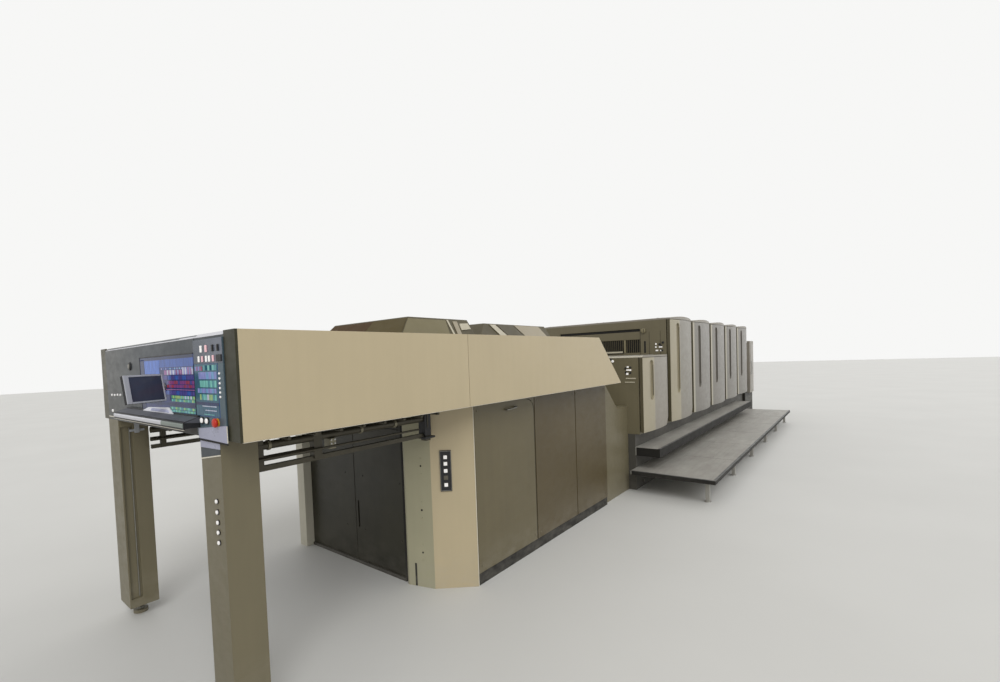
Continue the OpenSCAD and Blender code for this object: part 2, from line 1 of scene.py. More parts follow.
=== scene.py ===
"""Looks for a sheet-fed offset press: finishes on the CAD solids, and the details that they leave out."""
import math
import bmesh
import bpy
from bpy.props import FloatProperty, FloatVectorProperty, IntProperty, PointerProperty
from mathutils import Matrix, Vector


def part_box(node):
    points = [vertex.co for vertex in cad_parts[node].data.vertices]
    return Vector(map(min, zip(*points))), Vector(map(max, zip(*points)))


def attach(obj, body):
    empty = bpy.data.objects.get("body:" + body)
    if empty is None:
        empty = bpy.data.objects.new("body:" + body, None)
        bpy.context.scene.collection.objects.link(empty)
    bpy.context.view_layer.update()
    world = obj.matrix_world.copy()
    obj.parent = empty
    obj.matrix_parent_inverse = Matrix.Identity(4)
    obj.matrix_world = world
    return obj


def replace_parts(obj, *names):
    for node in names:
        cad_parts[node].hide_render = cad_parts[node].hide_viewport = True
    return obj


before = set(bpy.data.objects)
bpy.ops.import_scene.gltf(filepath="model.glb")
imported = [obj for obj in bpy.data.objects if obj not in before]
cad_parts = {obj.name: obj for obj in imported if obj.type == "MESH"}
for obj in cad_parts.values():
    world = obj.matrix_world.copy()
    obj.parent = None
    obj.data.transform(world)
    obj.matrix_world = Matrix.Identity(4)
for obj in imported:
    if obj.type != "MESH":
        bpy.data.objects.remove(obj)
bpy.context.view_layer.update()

bl_info = {
    "name": "Sheet press",
    "version": (1, 0, 0),
    "blender": (4, 5, 0),
    "location": "View3D > Sidebar > Press",
    "description": "Finishes and details of a sheet-fed offset press around its CAD frame",
    "category": "Object",
}

BODY = "press"
TOWERS = 5
# The press's own corner: distances along it, across it and up are counted from here, in millimetres
CORNER = Vector((*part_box("corner_trims")[0][:2], 0.0))
MM = 0.001


def span(node, axis):
    """Where a CAD node starts and ends along one axis, in press millimetres"""
    low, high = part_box(node)
    return (low[axis] - CORNER[axis]) / MM, (high[axis] - CORNER[axis]) / MM


def place(x, y, z):
    """A point given in press millimetres, in the frame's metres"""
    return CORNER + Vector((x, y, z)) * MM


def tint(red, green, blue):
    """A screen colour as the linear one that sockets take"""
    return tuple(((c / 255 + 0.055) / 1.055) ** 2.4 if c > 10 else c / 255 / 12.92
                 for c in (red, green, blue))


LOW_X = span("low_unit_door", 0)[0]
TOWER_X = [span(f"tower_{i}_door", 0)[0] for i in range(1, TOWERS + 1)]
PITCH = TOWER_X[1] - TOWER_X[0]
PRESS_W = span("fascia_drive", 1)[1]
FASCIA_TOP = span("corner_trims", 2)[1]
FASCIA_BOTTOM = span("corner_trims", 2)[0]
# Thickness of the roofs' plates
ROOF_PLATE = 26
TOWER_TOP = span("tower_1_door", 2)[1] + ROOF_PLATE
DOOR_WIDE, LOW_DOOR_WIDE = 1090, 963
LOW_DOOR = "low_unit_door"
# Each hinged door's name, start along the press and width
DOORS = [(f"tower_{i + 1}_door", x, DOOR_WIDE) for i, x in enumerate(TOWER_X)]
DOORS.append((LOW_DOOR, LOW_X, LOW_DOOR_WIDE))
# How far behind its front a tower's body ends, and how far in from the press's sides the guards stand
TOWER_BACK, GUARD_Y = 816, 170
# Ways that faces and turned parts point
TO_FRONT, TO_NEAR, TO_FAR, UP, DOWN = (-1, 0, 0), (0, -1, 0), (0, 1, 0), (0, 0, 1), (0, 0, -1)


# Settings

def colour(name, about, red, green, blue):
    return FloatVectorProperty(name=name, description=about, subtype="COLOR", size=3, min=0, max=1,
                               default=tint(red, green, blue))


class PRESS_PG_colours(bpy.types.PropertyGroup):
    """Colours of the press's finishes"""
    beige: colour("Beige paint", "Fascias and the corner pillar", 187, 173, 142)
    olive: colour("Olive paint", "Posts, hoods and the bodies of the towers", 112, 105, 83)
    pale: colour("Pale paint", "Rear part of the tower doors", 143, 137, 126)
    cream: colour("Cream paint", "Front part of the tower doors", 164, 156, 133)
    # Slate and deep slate are the two ends of one panel's gradient: painted light, darker at the display and
    # lighter at the far end
    slate: colour("Slate paint", "Front panel, its far end", 72, 74, 73)
    deep_slate: colour("Deep slate paint", "Front panel, its end at the display", 58, 65, 71)
    guard: colour("Guard paint", "Side guards of the delivery", 101, 93, 69)
    trim: colour("Trim paint", "Corner trims beside the front panel", 54, 53, 38)
    lilac: colour("Lilac plate", "Plate under the emergency stop", 164, 166, 188)
    charcoal: colour("Charcoal paint", "Back wall and housings inside the bay", 40, 38, 32)
    grey: colour("Grey paint", "Guide columns beside the pile bay", 166, 162, 136)
    iron: colour("Base iron", "Base frame and skirts", 74, 72, 66)
    tread: colour("Tread plate", "Walkway surfaces", 152, 148, 142)
    steel: colour("Bright steel", "Tubes, rods, handles and screws", 196, 196, 194)
    ply: colour("Pile board", "Plywood of the feeder's pile board", 164, 130, 90)


class PRESS_PG_sizes(bpy.types.PropertyGroup):
    """Sizes of the small parts"""
    screw: FloatProperty(name="Screw head", description="Radius of a cover screw's head", default=0.007,
                         min=0.003, max=0.02, unit="LENGTH")
    louvre: FloatProperty(name="Louvre pitch", description="Distance between two slats of a grille",
                          default=0.030, min=0.015, max=0.08, unit="LENGTH")
    rounding: FloatProperty(name="Edge rounding", description="Rounding of sheet metal edges",
                            default=0.003, min=0.0005, max=0.006, unit="LENGTH")
    keys: IntProperty(name="Keys in a row", description="Number of keys along the keyboard", default=15,
                      min=8, max=20)


def colours():
    return bpy.context.scene.press_colours


def sizes():
    return bpy.context.scene.press_sizes


# Shader groups

def add_node(tree, kind, ins=(), **settings):
    """Adds a node; ins gives its sockets values or the sockets that feed them"""
    node = tree.nodes.new(kind)
    for name, value in settings.items():
        setattr(node, name, value)
    for name, value in dict(ins).items():
        if isinstance(value, bpy.types.NodeSocket):
            tree.links.new(value, node.inputs[name])
        else:
            node.inputs[name].default_value = value
    return node


def shader_group(name, ins, outs):
    """A shader node group with its named sockets, built once"""
    tree = bpy.data.node_groups.new(name, "ShaderNodeTree")
    for label, kind, value in ins:
        tree.interface.new_socket(name=label, in_out="INPUT", socket_type=kind).default_value = value
    for label, kind in outs:
        tree.interface.new_socket(name=label, in_out="OUTPUT", socket_type=kind)
    return tree, tree.nodes.new("NodeGroupInput").outputs, tree.nodes.new("NodeGroupOutput")


def noise(tree, vector, scale, detail=3.0, rough=0.5):
    """A noise pattern, from 0 to 1"""
    return add_node(tree, "ShaderNodeTexNoise", {"Vector": vector, "Scale": scale, "Detail": detail,
                                                 "Roughness": rough}).outputs["Fac"]


def band(tree, value, low, high, to_low=0.0, to_high=1.0):
    """Maps a value's range to another one, clamped"""
    return add_node(tree, "ShaderNodeMapRange", {"Value": value, "From Min": low, "From Max": high,
                                                 "To Min": to_low, "To Max": to_high}).outputs["Result"]


def sums(tree, operation, a, b):
    """One sum of two numbers or sockets"""
    return add_node(tree, "ShaderNodeMath", {0: a, 1: b}, operation=operation).outputs[0]


def blend_colours(tree, factor, a, b):
    """Blends two colours by a factor"""
    return add_node(tree, "ShaderNodeMix", {0: factor, 6: a, 7: b}, data_type="RGBA").outputs[2]


def times(tree, colour_in, amount):
    """A colour made lighter or darker"""
    return add_node(tree, "ShaderNodeVectorMath", {0: colour_in, "Scale": amount},
                    operation="SCALE").outputs[0]


def object_place(tree):
    """Where a point lies in the press's own frame"""
    return add_node(tree, "ShaderNodeTexCoord").outputs["Object"]


def squeezed(tree, vector, x, y, z):
    """Places scaled along each axis, for patterns that stretch"""
    return add_node(tree, "ShaderNodeMapping", {"Vector": vector, "Scale": (x, y, z)}).outputs["Vector"]


def edge_mask(tree):
    """1 along the outer and inner edges of a solid, 0 on its flat faces"""
    soft = add_node(tree, "ShaderNodeBevel", {"Radius": 0.0035}, samples=4).outputs["Normal"]
    flat = add_node(tree, "ShaderNodeNewGeometry").outputs["True Normal"]
    same = add_node(tree, "ShaderNodeVectorMath", {0: soft, 1: flat},
                    operation="DOT_PRODUCT").outputs["Value"]
    return band(tree, same, 0.995, 0.85)


def painted_metal_group():
    """Sprayed sheet metal: soft clouds, faint wiped streaks, dust near the floor and an orange-peel skin"""
    tree, ins, out = shader_group("painted metal", [
        ("Paint", "NodeSocketColor", (0.5, 0.5, 0.5, 1)), ("Dust", "NodeSocketColor", (0.4, 0.38, 0.33, 1)),
        ("Clouds", "NodeSocketFloat", 0.08), ("Streaks", "NodeSocketFloat", 0.08),
        ("Floor Dust", "NodeSocketFloat", 0.3), ("Roughness", "NodeSocketFloat", 0.4),
        ("Edge Wear", "NodeSocketFloat", 0.3)],
        [("Color", "NodeSocketColor"), ("Roughness", "NodeSocketFloat"), ("Height", "NodeSocketFloat")])
    where = object_place(tree)
    clouds = noise(tree, where, 2.2, 4)
    streaks = noise(tree, squeezed(tree, where, 14, 14, 1.2), 1.0, 5, 0.6)
    smears = noise(tree, squeezed(tree, where, 3, 3, 5), 3.0, 6, 0.65)
    skin = noise(tree, where, 420.0, 2)
    height = add_node(tree, "ShaderNodeSeparateXYZ", {"Vector": where}).outputs["Z"]
    shade = sums(tree, "MULTIPLY", band(tree, clouds, 0.3, 0.7, -1, 1), ins["Clouds"])
    streak = sums(tree, "MULTIPLY", band(tree, streaks, 0.35, 0.7, -1, 1), ins["Streaks"])
    light = sums(tree, "ADD", sums(tree, "ADD", shade, streak), 1.0)
    toned = times(tree, ins["Paint"], light)
    low = sums(tree, "MULTIPLY", band(tree, height, 0.35, 0.0), band(tree, smears, 0.35, 0.65))
    dusty = sums(tree, "MULTIPLY", low, ins["Floor Dust"])
    patchy = band(tree, smears, 0.3, 0.6, 0.35, 1.0)
    rubbed = sums(tree, "MULTIPLY", sums(tree, "MULTIPLY", edge_mask(tree), patchy), ins["Edge Wear"])
    pale = times(tree, ins["Paint"], 1.45)
    worn = blend_colours(tree, rubbed, blend_colours(tree, dusty, toned, ins["Dust"]), pale)
    tree.links.new(worn, out.inputs["Color"])
    rough = sums(tree, "ADD", ins["Roughness"], band(tree, smears, 0.3, 0.7, -0.06, 0.09))
    tree.links.new(sums(tree, "ADD", rough, sums(tree, "MULTIPLY", dusty, 0.3)), out.inputs["Roughness"])
    tree.links.new(skin, out.inputs["Height"])
    return tree


def worn_metal_group():
    """Bare metal: fine brushed lines along one axis and dull patches"""
    tree, ins, out = shader_group("worn metal", [
        ("Metal", "NodeSocketColor", (0.6, 0.6, 0.6, 1)), ("Stretch", "NodeSocketVector", (2, 60, 60)),
        ("Dulling", "NodeSocketFloat", 0.3), ("Roughness", "NodeSocketFloat", 0.3)],
        [("Color", "NodeSocketColor"), ("Roughness", "NodeSocketFloat"), ("Height", "NodeSocketFloat")])
    where = object_place(tree)
    scaled = add_node(tree, "ShaderNodeVectorMath", {0: where, 1: ins["Stretch"]},
                      operation="MULTIPLY").outputs[0]
    lines = noise(tree, scaled, 6.0, 6, 0.7)
    patches = noise(tree, where, 9.0, 5, 0.6)
    dull = sums(tree, "MULTIPLY", band(tree, patches, 0.42, 0.68), ins["Dulling"])
    light = sums(tree, "SUBTRACT", band(tree, lines, 0.3, 0.7, 0.93, 1.06),
                 sums(tree, "MULTIPLY", dull, 0.35))
    tree.links.new(times(tree, ins["Metal"], light), out.inputs["Color"])
    rough = sums(tree, "ADD", ins["Roughness"], band(tree, lines, 0.3, 0.7, -0.05, 0.08))
    tree.links.new(sums(tree, "ADD", rough, sums(tree, "MULTIPLY", dull, 0.5)), out.inputs["Roughness"])
    tree.links.new(lines, out.inputs["Height"])
    return tree


def stripe_group():
    """A mask of 1 between two distances along the press, repeated at each tower's pitch"""
    tree, ins, out = shader_group("door stripe", [
        ("Start", "NodeSocketFloat", 0.0), ("Pitch", "NodeSocketFloat", 1.19),
                                                  ("Edge", "NodeSocketFloat", 0.3),
        ("Softness", "NodeSocketFloat", 0.01)], [("Mask", "NodeSocketFloat")])
    where = object_place(tree)
    x = add_node(tree, "ShaderNodeSeparateXYZ", {"Vector": where}).outputs["X"]
    local = sums(tree, "FLOORED_MODULO", sums(tree, "SUBTRACT", x, ins["Start"]), ins["Pitch"])
    mask = add_node(tree, "ShaderNodeMapRange", {"Value": local,
                                                 "From Min": sums(tree, "ADD", ins["Edge"], ins["Softness"]),
                                                 "From Max": ins["Edge"]}).outputs["Result"]
    tree.links.new(mask, out.inputs["Mask"])
    return tree


GROUPS = {}


def group_node(tree, name, ins):
    """Places a shared group in a material"""
    makers = {"painted metal": painted_metal_group, "worn metal": worn_metal_group,
              "door stripe": stripe_group}
    if name not in GROUPS:
        GROUPS[name] = makers[name]()
    return add_node(tree, "ShaderNodeGroup", ins, node_tree=GROUPS[name]).outputs


# Finishes

FINISH = {}


def blank(name):
    """A new material and its shader"""
    material = bpy.data.materials.new(name)
    material.use_nodes = True
    FINISH[name] = material
    return material.node_tree, material.node_tree.nodes["Principled BSDF"]


def feed(tree, shader, made, relief):
    """Joins a group's colour, roughness and height to the shader"""
    tree.links.new(made["Color"], shader.inputs["Base Color"])
    tree.links.new(made["Roughness"], shader.inputs["Roughness"])
    soft = add_node(tree, "ShaderNodeBevel", {"Radius": sizes().rounding}, samples=4).outputs["Normal"]
    bump = add_node(tree, "ShaderNodeBump", {"Height": made["Height"], "Strength": relief,
                                             "Distance": 0.0006,
                                             "Normal": soft})
    tree.links.new(bump.outputs["Normal"], shader.inputs["Normal"])


def blend_along(tree, axis, start, end, first, second):
    """Blends two colours along an axis of the press, between two distances from its corner"""
    where = object_place(tree)
    reach = add_node(tree, "ShaderNodeSeparateXYZ", {"Vector": where}).outputs[axis]
    mask = band(tree, reach, start * MM + CORNER[axis], end * MM + CORNER[axis])
    return blend_colours(tree, mask, (*first, 1), (*second, 1))


def paint(name, base, rough=0.42, clouds=0.05, streaks=0.05, floor_dust=0.24, metallic=0.0, relief=0.12,
          wear=0.3, shaded=None, gloss=0.4):
    """Painted sheet metal; shaded gives a second colour along an axis, as (axis, start, end, colour)"""
    tree, shader = blank(name)
    colour_in = blend_along(tree, *shaded[:3], base, shaded[3]) if shaded else (*base, 1)
    made = group_node(tree, "painted metal", {
        "Paint": colour_in, "Clouds": clouds, "Streaks": streaks, "Floor Dust": floor_dust,
        "Roughness": rough, "Edge Wear": wear})
    feed(tree, shader, made, relief)
    shader.inputs["Metallic"].default_value = metallic
    shader.inputs["Specular IOR Level"].default_value = gloss
    return tree, shader, made


def bare_metal(name, base, rough=0.3, stretch=(2, 60, 60), dulling=0.3, relief=0.15):
    """Unpainted metal with brushed lines"""
    tree, shader = blank(name)
    made = group_node(tree, "worn metal", {"Metal": (*base, 1), "Stretch": stretch, "Dulling": dulling,
                                           "Roughness": rough})
    feed(tree, shader, made, relief)
    shader.inputs["Metallic"].default_value = 1.0


def plastic(name, base, rough=0.4, glow=0.0):
    """Moulded plastic with a fine grain; a lit one also glows"""
    tree, shader, made = paint(name, base, rough, 0.03, 0.02, 0.0, relief=0.2)
    if glow:
        tree.links.new(made["Color"], shader.inputs["Emission Color"])
        shader.inputs["Emission Strength"].default_value = glow


def make_finishes():
    c = colours()
    paint("beige paint", c.beige, 0.38, 0.018, 0.015, wear=0.4)
    paint("olive paint", c.olive, 0.4, 0.04, 0.035, wear=0.4)
    # Guard paint turns darker from 2640 mm along the press on: painted shade over the rear guard panels
    paint("guard paint", c.guard, 0.36, 0.06, 0.03, wear=0.4, shaded=(0, 2640, 2690, tint(83, 72, 46)))
    # Trim paint is lighter towards the far side, so the far corner trim shows painted light; both trims are
    # one paint
    paint("trim paint", c.trim, 0.4, 0.05, 0.03, shaded=(1, 900, 2000, tint(88, 85, 70)), gloss=0.25)
    # Slate paint blends from deep slate to slate across the press: painted light along one panel
    paint("slate paint", c.deep_slate, 0.34, 0.07, 0.03, shaded=(1, 1150, 1800, c.slate), gloss=0.25)
    paint("column plate", tint(80, 98, 108), 0.32, 0.05, 0.03, gloss=0.25)
    # Upper plate is lighter towards the near corner and darker towards the display: painted reflection
    paint("upper plate", tint(106, 112, 125), 0.3, 0.08, 0.04, shaded=(1, 180, 436, tint(76, 84, 96)),
          gloss=0.3)
    paint("lilac plate", c.lilac, 0.3, 0.04, 0.02)
    paint("charcoal paint", c.charcoal, 0.5, 0.10, 0.10, 0.12, gloss=0.25)
    paint("hood paint", tint(84, 77, 55), 0.45, 0.06, 0.05, gloss=0.3)
    # Grey paint is lighter from 1100 mm across the press on: painted light on the far guide column
    paint("grey paint", c.grey, 0.45, 0.05, 0.02, shaded=(1, 1100, 1300, tint(198, 194, 178)))
    # The lit part of the hoods' sides, painted lighter: painted light
    paint("hood painted light", tint(122, 114, 84), 0.45, 0.06, 0.02, gloss=0.3)
    # Hood slope and its lighter copy: painted shade on the front slope, darker on the far half than on the
    # near half
    paint("hood slope", tint(78, 60, 38), 0.6, 0.05, 0.03, gloss=0.15)
    paint("hood slope light", tint(90, 80, 52), 0.6, 0.05, 0.03, gloss=0.15)
    # Wall paint's strong clouds give lighter patches: painted reflection of the wall's soft sheen
    paint("wall paint", tint(48, 46, 35), 0.36, 0.30, 0.05, 0.10, gloss=0.4)
    paint("base iron", c.iron, 0.55, 0.06, 0.04, 0.12, wear=0.6)
    paint("dark gap", tint(24, 22, 18), 0.7, 0.05, 0.02, 0.2)
    paint("white edge", tint(226, 220, 204), 0.4, 0.03, 0.03)
    # Door colours: the first tower's and the low unit's doors have a cream front and a paler rear. The other
    # towers' doors get a narrow bright front strip, a painted highlight, and a darker face, painted shade
    # for the towers further along; the first door's face is a shaded copy of the pale paint
    alone = 9000.0
    for name, start, pitch, edge, tone, face in (
            ("first door paint", TOWER_X[0], alone, 0.306, c.cream, tint(135, 130, 119)),
            ("low door paint", LOW_X, alone, 0.306, c.cream, c.pale),
            ("door paint", TOWER_X[0], PITCH, 0.04, tint(178, 173, 156), tint(127, 123, 116))):
        tree, shader = blank(name)
        mask = group_node(tree, "door stripe", {"Start": start * MM + CORNER.x, "Pitch": pitch * MM,
                                                "Edge": edge, "Softness": 0.03})["Mask"]
        made = group_node(tree, "painted metal", {
            "Paint": blend_colours(tree, mask, (*face, 1), (*tone, 1)), "Clouds": 0.04,
            "Streaks": 0.025, "Floor Dust": 0.0, "Roughness": 0.34, "Edge Wear": 0.55})
        feed(tree, shader, made, 0.12)
    paint("pale paint", c.pale, 0.38, 0.04, 0.02)
    bare_metal("bright steel", c.steel, 0.28)
    bare_metal("brushed aluminium", tint(214, 214, 220), 0.36, (2, 60, 60), 0.15)
    bare_metal("dull steel", tint(150, 148, 140), 0.42, (20, 20, 20), 0.5)
    plastic("black plastic", tint(30, 30, 32), 0.45)
    plastic("grey plastic", tint(162, 164, 168), 0.45)
    plastic("white plastic", tint(222, 224, 232), 0.4)
    plastic("red plastic", tint(196, 44, 24), 0.35)
    plastic("yellow plastic", tint(206, 148, 40), 0.4)
    plastic("white lamp", tint(240, 238, 236), 0.3, 0.25)
    plastic("pink lamp", tint(236, 190, 196), 0.3, 0.2)
    plastic("lilac plastic", tint(190, 194, 226), 0.4)
    plastic("grey plastic dark", tint(96, 92, 80), 0.5)
    # The dark of the shade under the ledge, painted on the panel: painted shade
    paint("painted ledge shade", tint(44, 38, 34), 0.5, 0.08, 0.05, 0.0)
    paint("ledge mat", tint(86, 88, 96), 0.5, 0.06, 0.05, 0.0)
    paint("clamp metal", tint(132, 127, 108), 0.4, 0.08, 0.08, 0.0, metallic=0.3)
    # Rail paint is darker than the rails' own paint: partly painted shade of the bay they stand in
    paint("rail paint", tint(72, 68, 56), 0.4, 0.10, 0.10, 0.0, metallic=0.3, wear=0.6)
    plastic("pale frame", tint(176, 178, 186), 0.42)
    paint("dull strip", tint(126, 136, 130), 0.36, 0.08, 0.04, 0.0)
    paint("charcoal ridge", tint(58, 56, 48), 0.5, 0.08, 0.05, 0.2)
    paint("cream edge", tint(196, 189, 168), 0.4, 0.05, 0.05)
    paint("pale lid", tint(158, 154, 146), 0.38, 0.04, 0.03, 0.0, wear=0.6)
    paint("warm grey", tint(164, 154, 132), 0.42, 0.04, 0.02)
    # Painted shade on the walls of the doors' grip grooves
    paint("groove painted shade", tint(76, 72, 62), 0.5, 0.05, 0.05, 0.0)
    paint("olive shade", tint(84, 78, 58), 0.5, 0.06, 0.05)
    paint("olive light", tint(134, 126, 98), 0.42, 0.04, 0.02)
    paint("tape fabric", tint(92, 104, 92), 0.75, 0.05, 0.03, 0.0, relief=0.4)
    bare_metal("worn edge", tint(112, 112, 110), 0.45, (2, 30, 30), 0.5)
    make_tread()
    make_screen()
    make_ply()


def make_tread():
    """Walkway plate: grey, scuffed, with fine raised grains and paler worn tracks"""
    tree, shader = blank("tread plate")
    where = object_place(tree)
    grains = add_node(tree, "ShaderNodeTexVoronoi", {"Vector": where, "Scale": 90.0}).outputs["Distance"]
    wear = noise(tree, squeezed(tree, where, 1, 4, 1), 2.0, 6, 0.65)
    base = blend_colours(tree, band(tree, wear, 0.35, 0.7), (*colours().tread, 1), (*tint(168, 167, 160), 1))
    made = group_node(tree, "painted metal", {"Paint": base, "Clouds": 0.07, "Streaks": 0.03,
                                              "Floor Dust": 0.1, "Roughness": 0.5})
    tree.links.new(made["Color"], shader.inputs["Base Color"])
    tree.links.new(made["Roughness"], shader.inputs["Roughness"])
    bump = add_node(tree, "ShaderNodeBump", {"Height": grains, "Strength": 0.25, "Distance": 0.001})
    tree.links.new(bump.outputs["Normal"], shader.inputs["Normal"])
    shader.inputs["Metallic"].default_value = 0.2
    shader.inputs["Specular IOR Level"].default_value = 0.25


def make_screen():
    """Lit screen: the colour is each cell's own, over black glass"""
    tree, shader = blank("screen glass")
    cell = add_node(tree, "ShaderNodeAttribute", attribute_name="cell_colour").outputs["Color"]
    where = object_place(tree)
    lines = noise(tree, squeezed(tree, where, 1, 110, 14), 1.0, 2, 0.5)
    haze = blend_colours(tree, band(tree, noise(tree, where, 7.0, 2), 0.35, 0.7, 0.0, 0.2), cell,
                         (*tint(60, 84, 150), 1))
    glow = times(tree, haze, band(tree, lines, 0.35, 0.65, 0.66, 1.12))
    tree.links.new(glow, shader.inputs["Emission Color"])
    shader.inputs["Emission Strength"].default_value = 0.8
    shader.inputs["Base Color"].default_value = (*tint(24, 26, 34), 1)
    shader.inputs["Roughness"].default_value = 0.2
    shader.inputs["Specular IOR Level"].default_value = 0.2
    paint("dark screen", tint(66, 70, 84), 0.14, 0.18, 0.12, 0.0, relief=0.02)
    tree, shader, made = paint("panel glass", tint(40, 62, 128), 0.16, 0.12, 0.05, 0.0, relief=0.02)
    tree.links.new(made["Color"], shader.inputs["Emission Color"])
    shader.inputs["Emission Strength"].default_value = 0.5


def make_ply():
    """Plywood: grain lines along the board"""
    tree, shader = blank("ply wood")
    where = object_place(tree)
    grain = noise(tree, squeezed(tree, where, 40, 3, 60), 2.0, 7, 0.6)
    rings = add_node(tree, "ShaderNodeTexWave", {"Vector": squeezed(tree, where, 6, 1, 4), "Scale": 3.0,
                                                 "Distortion": 6.0}).outputs["Fac"]
    mask = sums(tree, "MULTIPLY", band(tree, grain, 0.3, 0.7), band(tree, rings, 0.0, 1.0, 0.6, 1.0))
    wood = blend_colours(tree, mask, (*colours().ply, 1), (*tint(120, 88, 54), 1))
    tree.links.new(wood, shader.inputs["Base Color"])
    tree.links.new(band(tree, grain, 0.3, 0.7, 0.55, 0.75), shader.inputs["Roughness"])
    bump = add_node(tree, "ShaderNodeBump", {"Height": grain, "Strength": 0.3, "Distance": 0.001})
    tree.links.new(bump.outputs["Normal"], shader.inputs["Normal"])


# Mesh tools

def round_points(r, sides):
    """Points around a circle, in its own plane"""
    turns = [2 * math.pi * k / sides for k in range(sides)]
    return [(r * math.cos(a), r * math.sin(a)) for a in turns]


class Shape:
    """Solids of one finish, given in press millimetres and joined in one mesh"""

    def __init__(self):
        self.mesh = bmesh.new()

    def hull(self, rings):
        """Closes a run of rings of points, end caps included"""
        loops = [[self.mesh.verts.new(place(*p)) for p in ring] for ring in rings]
        made = []
        for a, b in zip(loops, loops[1:]):
            for k in range(len(a)):
                n = (k + 1) % len(a)
                made.append(self.mesh.faces.new((a[k], a[n], b[n], b[k])))
        made.append(self.mesh.faces.new(list(reversed(loops[0]))))
        made.append(self.mesh.faces.new(loops[-1]))
        bmesh.ops.recalc_face_normals(self.mesh, faces=made)
        return made

    def block(self, x, y, z):
        return self.hull([[(x[0], y[0], h), (x[1], y[0], h), (x[1], y[1], h), (x[0], y[1], h)] for h in z])

    def across(self, outline, y):
        """An outline drawn along the press and upwards, carried across it"""
        return self.hull([[(x, w, z) for x, z in outline] for w in y])

    def on_front(self, outline, x):
        """An outline drawn across the press and upwards, carried along it"""
        return self.hull([[(d, y, z) for y, z in outline] for d in x])

    def upright(self, outline, z):
        """An outline drawn in plan, carried upwards"""
        return self.hull([[(x, y, h) for x, y in outline] for h in z])

    def rod(self, a, b, r, sides=24):
        a, b = Vector(a), Vector(b)
        turn = (b - a).to_track_quat("Z", "Y").to_matrix()
        return self.hull([[centre + turn @ Vector((u, v, 0)) for u, v in round_points(r, sides)]
                          for centre in (a, b)])

    def turned(self, a, direction, steps, sides=28):
        """A turned part: steps are (distance along the axis, radius)"""
        a, direction = Vector(a), Vector(direction).normalized()
        turn = direction.to_track_quat("Z", "Y").to_matrix()
        return self.hull([[a + direction * h + turn @ Vector((u, v, 0)) for u, v in round_points(r, sides)]
                          for h, r in steps])

    def tube(self, path, r, sides=14):
        """A bent rod along points"""
        points = [Vector(p) for p in path]
        rings = []
        for k, p in enumerate(points):
            ahead = (points[min(k + 1, len(points) - 1)] - points[max(k - 1, 0)]).normalized()
            side = ahead.cross(Vector((0.31, 0.2, 0.93))).normalized()
            up = side.cross(ahead)
            rings.append([p + side * u + up * v for u, v in round_points(r, sides)])
        return self.hull(rings)

    def moved(self, matrix, faces):
        """Turns faces made in millimetres about the origin into their place"""
        verts = list({v for f in faces for v in f.verts})
        for v in verts:
            v.co = place(*(matrix @ ((v.co - CORNER) / MM)))

    def join(self, other):
        """Takes a finished mesh object in, and removes it"""
        self.mesh.from_mesh(other.data)
        bpy.data.objects.remove(other)

    def make(self, name, finish, slot, body=BODY, rounding=0.0, smooth=False):
        """The mesh as a piece that rides on its body"""
        data = bpy.data.meshes.new(name)
        self.mesh.to_mesh(data)
        self.mesh.free()
        piece = bpy.data.objects.new(name, data)
        bpy.context.scene.collection.objects.link(piece)
        data.materials.clear()
        data.materials.append(FINISH[finish])
        for polygon in data.polygons:
            polygon.material_index = 0
        if rounding:
            bevel = piece.modifiers.new("rounding", "BEVEL")
            bevel.width = rounding * MM
            bevel.segments = 2
            bevel.limit_method = "ANGLE"
            bevel.angle_limit = math.radians(40)
        if smooth:
            data.shade_smooth()
            data.set_sharp_from_angle(angle=math.radians(35))
        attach(piece, body)
        return piece


# Geometry node trees

TREES = {}


def geometry_tree(name, ins):
    """A geometry node tree with named inputs and its input and output nodes"""
    tree = bpy.data.node_groups.new(name, "GeometryNodeTree")
    tree.interface.new_socket(name="Geometry", in_out="INPUT", socket_type="NodeSocketGeometry")
    for label, kind, value in ins:
        socket = tree.interface.new_socket(name=label, in_out="INPUT", socket_type=kind)
        if value is not None:
            socket.default_value = value
    tree.interface.new_socket(name="Geometry", in_out="OUTPUT", socket_type="NodeSocketGeometry")
    return tree, tree.nodes.new("NodeGroupInput").outputs, tree.nodes.new("NodeGroupOutput").inputs


def close_tree(tree, instances, ins, out):
    """Realizes the instances and gives them their finish"""
    real = add_node(tree, "GeometryNodeRealizeInstances", {"Geometry": instances}).outputs[0]
    done = add_node(tree, "GeometryNodeSetMaterial", {"Geometry": real,
                                                      "Material": ins["Finish"]}).outputs[0]
    tree.links.new(done, out["Geometry"])
    return tree


